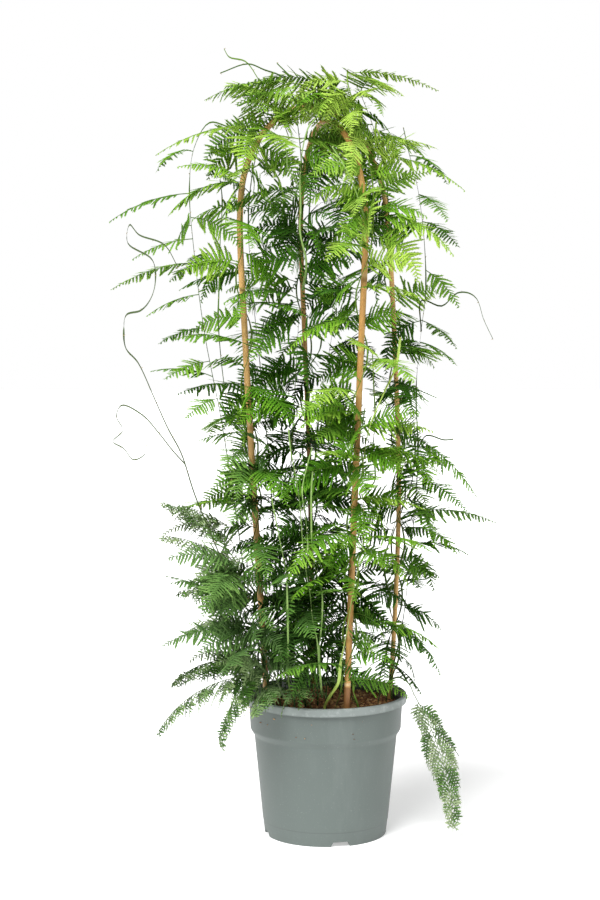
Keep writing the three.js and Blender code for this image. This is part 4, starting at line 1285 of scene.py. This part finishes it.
def buildFernTree():
    sheet, given = startTree("growFern", {
        "Skeleton": "Geometry", "Tuft Gap": "Float", "Tuft Length": "Float", "Needle Width": "Float",
        "Needle Flatness": "Float", "Branch Flatness": "Float", "Spread": "Float", "Scale Gap": "Float",
        "Scale Length": "Float", "Stem Sides": "Int", "Branch Sides": "Int", "Seed": "Int",
        "Material": "Material"})
    girth, up, size = named(sheet, "girth"), named(sheet, "up", "FLOAT_VECTOR"), named(sheet, "size")
    split = sheet.add("GeometryNodeSeparateGeometry", {"domain": "POINT"},
                      {"Geometry": given["Skeleton"], "Selection": named(sheet, "kind") > 0.5}, "Selection")
    tubes = {}
    for label, geometry, sides, stalk, flat in (
            ("stems", split.output("Inverted"), given["Stem Sides"], 1.0, 1.0),
            ("branches", split, given["Branch Sides"], 0.0, given["Branch Flatness"])):
        curve = sheet.add("GeometryNodeMeshToCurve", None, {"Mesh": geometry})
        curve = sheet.add("GeometryNodeSetCurveNormal", {"mode": "FREE"}, {"Curve": curve, "Normal": up})
        ring = sheet.add("GeometryNodeCurvePrimitiveCircle", {"mode": "RADIUS"},
                         {"Resolution": sides, "Radius": 1.0}, "Curve")
        ring = sheet.add("GeometryNodeTransform", None,
                         {"Geometry": ring, "Scale": sheet.combine(flat, 1.0, 1.0)})
        tube = sheet.add("GeometryNodeCurveToMesh", None,
                         {"Curve": curve, "Profile Curve": ring, "Scale": girth, "Fill Caps": True})
        tubes[label] = curve, stored(sheet, tube, "stalk", stalk)
    parts = [tubes["stems"][1], tubes["branches"][1]]

    # one tuft of needles is a flat spike with its foot on the branch
    cone = sheet.add("GeometryNodeMeshCone", {"fill_type": "NGON"},
                     {"Vertices": 3, "Side Segments": 1, "Fill Segments": 1, "Radius Top": 0.0,
                      "Radius Bottom": given["Needle Width"], "Depth": given["Tuft Length"]}, "Mesh")
    tuft = sheet.add("GeometryNodeTransform", None,
                     {"Geometry": cone, "Scale": sheet.combine(1.0, given["Needle Flatness"], 1.0)})

    # tufts alternate along each branch and lean towards its tip, in the plane of the spray
    spaced = sheet.add("GeometryNodeResampleCurve", {"mode": "LENGTH"},
                       {"Curve": tubes["branches"][0], "Length": given["Tuft Gap"]})
    tangent = sheet.add("GeometryNodeInputTangent")
    factor = sheet.add("GeometryNodeSplineParameter", None, None, "Factor")
    parity = sheet.add("GeometryNodeInputIndex") % 2.0
    lean = (parity * 2.0 - 1.0) * given["Spread"] * (factor < 0.97)
    lean = lean + drawn(sheet, -0.14, 0.14, given["Seed"], 1)
    aside = sheet.vector("CROSS_PRODUCT", up, tangent)
    way = sheet.vector("ADD", sheet.scaled(tangent, lean.only("COSINE")),
                       sheet.scaled(aside, lean.only("SINE")))
    turn = sheet.add("FunctionNodeAxesToRotation", {"primary_axis": "Z", "secondary_axis": "Y"},
                     {"Primary Axis": way, "Secondary Axis": up})
    grown = sheet.add("GeometryNodeInstanceOnPoints", None,
                      {"Points": spaced, "Instance": tuft, "Rotation": turn, "Selection": factor > 0.05,
                       "Scale": size * drawn(sheet, 0.82, 1.18, given["Seed"], 2)})
    grown = stored(sheet, grown, "shade", drawn(sheet, -1.0, 1.0, given["Seed"], 3), "INSTANCE")
    parts.append(grown)

    # small dry scales at the joints of the stems, pointing back down
    joints = sheet.add("GeometryNodeResampleCurve", {"mode": "LENGTH"},
                       {"Curve": tubes["stems"][0], "Length": given["Scale Gap"]})
    spike = sheet.add("GeometryNodeMeshCone", {"fill_type": "NGON"},
                      {"Vertices": 3, "Side Segments": 1, "Fill Segments": 1, "Radius Top": 0.0,
                       "Radius Bottom": given["Scale Length"] * 0.26,
                       "Depth": given["Scale Length"]}, "Mesh")
    outward = sheet.add("GeometryNodeInputNormal")
    sideways = sheet.scaled(outward, (parity * 2.0 - 1.0) * 0.8)
    back = sheet.vector("ADD", sheet.scaled(tangent, -0.75), sideways)
    aim = sheet.add("FunctionNodeAxesToRotation", {"primary_axis": "Z", "secondary_axis": "Y"},
                    {"Primary Axis": back, "Secondary Axis": outward})
    scales = sheet.add("GeometryNodeInstanceOnPoints", None,
                       {"Points": joints, "Instance": spike, "Rotation": aim,
                        "Scale": size, "Selection": factor > 0.02})
    parts.append(stored(sheet, scales, "dry", 1.0, "INSTANCE"))
    return closeTree(sheet, parts, given["Material"])


# Soft needles whose green comes from the piece's own tone, with paler tips and yellowish stalks
def makeLeafMaterial(name, look):
    material, sheet, where = startMaterial(name)
    tone, pale, shade = (sheet.attribute(label) for label in ("tone", "pale", "shade"))
    stalk, dry, light = (sheet.attribute(label) for label in ("stalk", "dry", "light"))
    drift = sheet.noise(where, 14.0, 3.0, 0.5) - 0.5
    fine = sheet.noise(where, 700.0, 2.0, 0.6)
    # leaves near the plant's axis get painted shade, deeper green where the crown shadows its inside, and
    # those at the very top are the youngest
    x, y, z = (sheet.add("ShaderNodeSeparateXYZ", None, {"Vector": where}, axis) for axis in "XYZ")
    axisShade = sheet.between(x * x + y * y, 0.001, 0.026, -0.2, 0.05) * sheet.between(z, 0.88, 1.0, 1.0, 0.0)
    depth = axisShade + sheet.between(z, 0.93, 1.06, 0.0, 0.14)
    place = tone + drift * 0.34 + shade * 0.16 + depth + look["shift"]
    green = sheet.ramp(place, [(0.12, (0.01, 0.045, 0.002)), (0.34, (0.034, 0.125, 0.005)),
                               (0.52, (0.085, 0.25, 0.012)), (0.7, (0.2, 0.43, 0.028)),
                               (0.9, (0.46, 0.68, 0.1))])
    grey = sheet.ramp(place, [(0.1, (0.07, 0.15, 0.05)), (0.5, (0.26, 0.36, 0.17)),
                              (0.9, (0.6, 0.65, 0.44))])
    color = sheet.mixed(pale, green, grey)
    color = sheet.mixed(stalk * look["stalkShare"], color, look["stalkColor"])
    color = sheet.mixed(light * 0.9, color, (0.3, 0.46, 0.14))
    color = sheet.mixed(dry, color, sheet.mixed(light, (0.42, 0.3, 0.15), (0.75, 0.7, 0.5)))
    color = sheet.mixed(fine * 0.2, color, (0.02, 0.06, 0.01))
    rough = look["roughness"] + fine * 0.16 - stalk * 0.08
    closeMaterial(sheet, color, rough, fine, 0.00008, {"Specular IOR Level": look["gloss"]})
    return material


softLeaf = {"shift": 0.0, "roughness": 0.62, "gloss": 0.07}
leafFinish = {
    "leaf_lime": {**softLeaf, "shift": 0.02, "stalkShare": 0.5, "stalkColor": (0.24, 0.34, 0.07)},
    "leaf_bright": {**softLeaf, "stalkShare": 0.5, "stalkColor": (0.2, 0.28, 0.06)},
    "leaf_mid": {**softLeaf, "stalkShare": 0.6, "stalkColor": (0.08, 0.12, 0.03)},
    "leaf_dark": {**softLeaf, "stalkShare": 0.6, "stalkColor": (0.05, 0.08, 0.02)},
    "leaf_grey": {**softLeaf, "stalkShare": 0.4, "stalkColor": (0.16, 0.2, 0.1)},
}
leafMaterials = {slot: makeLeafMaterial(slot, look) for slot, look in leafFinish.items()}
fernTree = buildFernTree()


def fernValues(material, scaleLength):
    return {
        "Tuft Gap": growLook["tuftGap"] * mm, "Tuft Length": growLook["tuftLength"] * mm,
        "Needle Width": growLook["needleWidth"] * mm, "Needle Flatness": growLook["needleFlatness"],
        "Branch Flatness": growLook["branchFlatness"],
        "Spread": growLook["spread"], "Scale Gap": growLook["scaleGap"] * mm,
        "Scale Length": scaleLength * mm, "Stem Sides": growLook["stemSides"],
        "Branch Sides": growLook["branchSides"], "Seed": growLook["seed"], "Material": material,
    }


tipTolerance = 0.4


# The variant of a spray that found room in the CAD: its tip is one of the node's own points
def chosenVariant(tree, root, spray):
    for n in range(sprayRule["tries"]):
        tried = variant(spray, n)
        if tree.find(ribPlace(root, tried, 1) * mm)[2] < tipTolerance * mm:
            return tried
    return None


# The stem itself with the bare shoots that hang from it
def layStem(skeleton, name, curve, look):
    perSpan = stemLook["stepsPerSpan"]
    tone = look["tone"]
    tones = (tone - 0.25, tone - 0.1)
    skeleton.line(curve.spread(perSpan), 0, stemLook["girths"], tones, look["pale"] * 0.4)
    for points in tendrils.get(name, []):
        skeleton.line(Curve(points).spread(perSpan), 0, stemLook["tendrilGirths"], (0.16, 0.3), 0)
    for kind, points in vines.get(name, []):
        light = 1 if kind == "pale" else 0
        skeleton.line(Curve(points).spread(perSpan), 0, stemLook["vineGirths"], (0.3, 0.4), 0, light=light)


# Every spray of a stem as its root, its form and what draws it: those of the CAD first, then the extra ones
def spraysOf(stem, index, curve):
    name = stem["name"]
    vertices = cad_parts[name].data.vertices
    tree = kdtree.KDTree(len(vertices))
    for i, vertex in enumerate(vertices):
        tree.insert(vertex.co, i)
    tree.balance()
    grown = []
    for spray in tipSprays(stem, index, curve) + (tierSprays(stem, index) if "tiers" in stem else []):
        root = curve.at(curve.placeAt(spray["height"]))
        found = chosenVariant(tree, root, spray)
        if found:
            grown.append((root, found, addLace if name in lacy else addSpray))
    for stemName, *plan in fillPlan:
        if stemName == name:
            grown += [(curve.at(curve.placeAt(spray["height"])), spray, addSpray)
                      for spray in fillSprays(name, *plan)]
    return grown


def makeLeafyStems():
    total = 0
    for index, stem in enumerate(leafyStems):
        name = stem["name"]
        draw = random.Random(100 + index)
        look = {**toneLook[stem["tone"]]}
        look["pale"] = paleness.get(name, look["pale"])
        curve = stemCurve(stem)
        skeleton = Skeleton()
        layStem(skeleton, name, curve, look)
        grown = spraysOf(stem, index, curve)
        for root, spray, add in grown:
            high = min(1, max(0, (root.z - heightLook["from"]) / heightLook["span"]))
            low = min(1, max(0, (heightLook["paleBelow"] - root.z) / heightLook["paleSpan"]))
            tone = look["tone"] + heightLook["gain"] * (high - heightLook["level"])
            pale = look["pale"] + heightLook["pale"] * low
            add(skeleton, root, spray, {**look, "tone": tone, "pale": pale}, draw)
        slot = "leaf_" + stem["tone"]
        fern = grow("fern_" + name, fernTree, skeleton.mesh(name + "_lines"),
                    fernValues(leafMaterials[slot], growLook["scaleLength"]))
        place(fern, slot, name)
        faces = sum(len(p.vertices) - 2 for p in fern.data.polygons)
        total += faces
        print("fern:", name, len(grown), "sprays,", faces, "triangles")
    print("fern in all:", total, "triangles")


makeLeafyStems()

shootLook = {
    "shoot_front_young": {"girths": (2.9, 2.2), "tones": (0.74, 0.86), "pale": 0.0, "slot": "young_shoot",
                          "scale": 5.0, "stalkColor": (0.5, 0.66, 0.14), "stalkShare": 0.85},
    "shoot_left_bare": {"girths": (1.9, 1.2), "tones": (0.16, 0.28), "pale": 0.1, "slot": "bare_shoot",
                        "scale": 3.4, "stalkColor": (0.07, 0.1, 0.03), "stalkShare": 0.8},
}


def makeShoots():
    for node, look in shootLook.items():
        finish = {"shift": 0.0, "stalkShare": look["stalkShare"], "stalkColor": look["stalkColor"],
                  "roughness": 0.4, "gloss": 0.5}
        skeleton = Skeleton()
        shoot = bareShoots[node]
        skeleton.line(stemCurve(shoot).spread(8), 0, look["girths"], look["tones"], look["pale"])
        for points in shoot["branches"]:
            skeleton.line(Curve(points).spread(8), 0, stemLook["tendrilGirths"], look["tones"], look["pale"])
        piece = grow(node + "_stem", fernTree, skeleton.mesh(node + "_lines"),
                     fernValues(makeLeafMaterial(look["slot"], finish), look["scale"]))
        smooth(piece.data, 50)
        place(piece, look["slot"], node)
        print("shoot:", node)


makeShoots()

# Floor, light and camera
stageLook = {
    "floorColor": (0.9, 0.9, 0.9),
    "sky": 0.36,
    "horizon": 0.09,
    "floorGlow": 0.42,
    "backdrop": 1.0,
    "floorReach": 9,
    "camera": {"from": (-0.038, -3.3, 0.9), "down": 5.69, "lens": 90.4, "film": 36.0},
    "key": {"energy": 4.3, "from": (-0.45, -0.75, 1.15), "softness": 36.0},
    "side": {"energy": 0.5, "from": (1.0, -0.5, 0.5), "softness": 40.0},
}


def makeStage():
    material, sheet, where = startMaterial("paleFloor")
    dapple = sheet.noise(where, 3.0, 3.0, 0.5)
    color = sheet.mixed(dapple * 0.15, stageLook["floorColor"], (0.86, 0.86, 0.86))
    closeMaterial(sheet, color, 0.8 + dapple * 0.1,
                  fixed={"Emission Color": (1, 1, 1, 1), "Emission Strength": stageLook["floorGlow"]})
    far = stageLook["floorReach"]
    corners = [(-far, -far, 0), (far, -far, 0), (far, far, 0), (-far, far, 0)]
    floor = addPiece("floor", meshFrom("floor", corners, [[0, 1, 2, 3]], material))
    world = bpy.data.worlds.new("studio")
    world.use_nodes = True
    world.node_tree.nodes.clear()
    sky = Sheet(world.node_tree)
    way = sky.add("ShaderNodeTexCoord", None, None, "Generated")
    height = sky.add("ShaderNodeSeparateXYZ", None, {"Vector": way}, "Z")
    dome = sky.between(height, -0.1, 0.9, stageLook["horizon"], stageLook["sky"])
    seen = sky.add("ShaderNodeLightPath", None, None, "Is Camera Ray")
    strength = seen * (stageLook["backdrop"] - dome) + dome
    glow = sky.add("ShaderNodeBackground", None, {"Color": (1.0, 1.0, 1.0, 1.0), "Strength": strength})
    sky.add("ShaderNodeOutputWorld", None, {"Surface": glow})
    bpy.context.scene.world = world
    for name in ("key", "side"):
        look = stageLook[name]
        lamp = bpy.data.lights.new(name, "SUN")
        lamp.energy = look["energy"]
        lamp.angle = math.radians(look["softness"])
        light = bpy.data.objects.new(name, lamp)
        bpy.context.scene.collection.objects.link(light)
        light.rotation_euler = Vector(look["from"]).to_track_quat("Z", "Y").to_euler()
    view = stageLook["camera"]
    lens = bpy.data.cameras.new("camera")
    lens.lens = view["lens"]
    lens.sensor_width = view["film"]
    camera = bpy.data.objects.new("camera", lens)
    bpy.context.scene.collection.objects.link(camera)
    camera.location = view["from"]
    camera.rotation_euler = (math.radians(90 - view["down"]), 0.0, 0.0)
    bpy.context.scene.camera = camera
    bpy.context.scene.view_settings.view_transform = "Standard"
    print("stage: floor, two soft lights, camera")


makeStage()
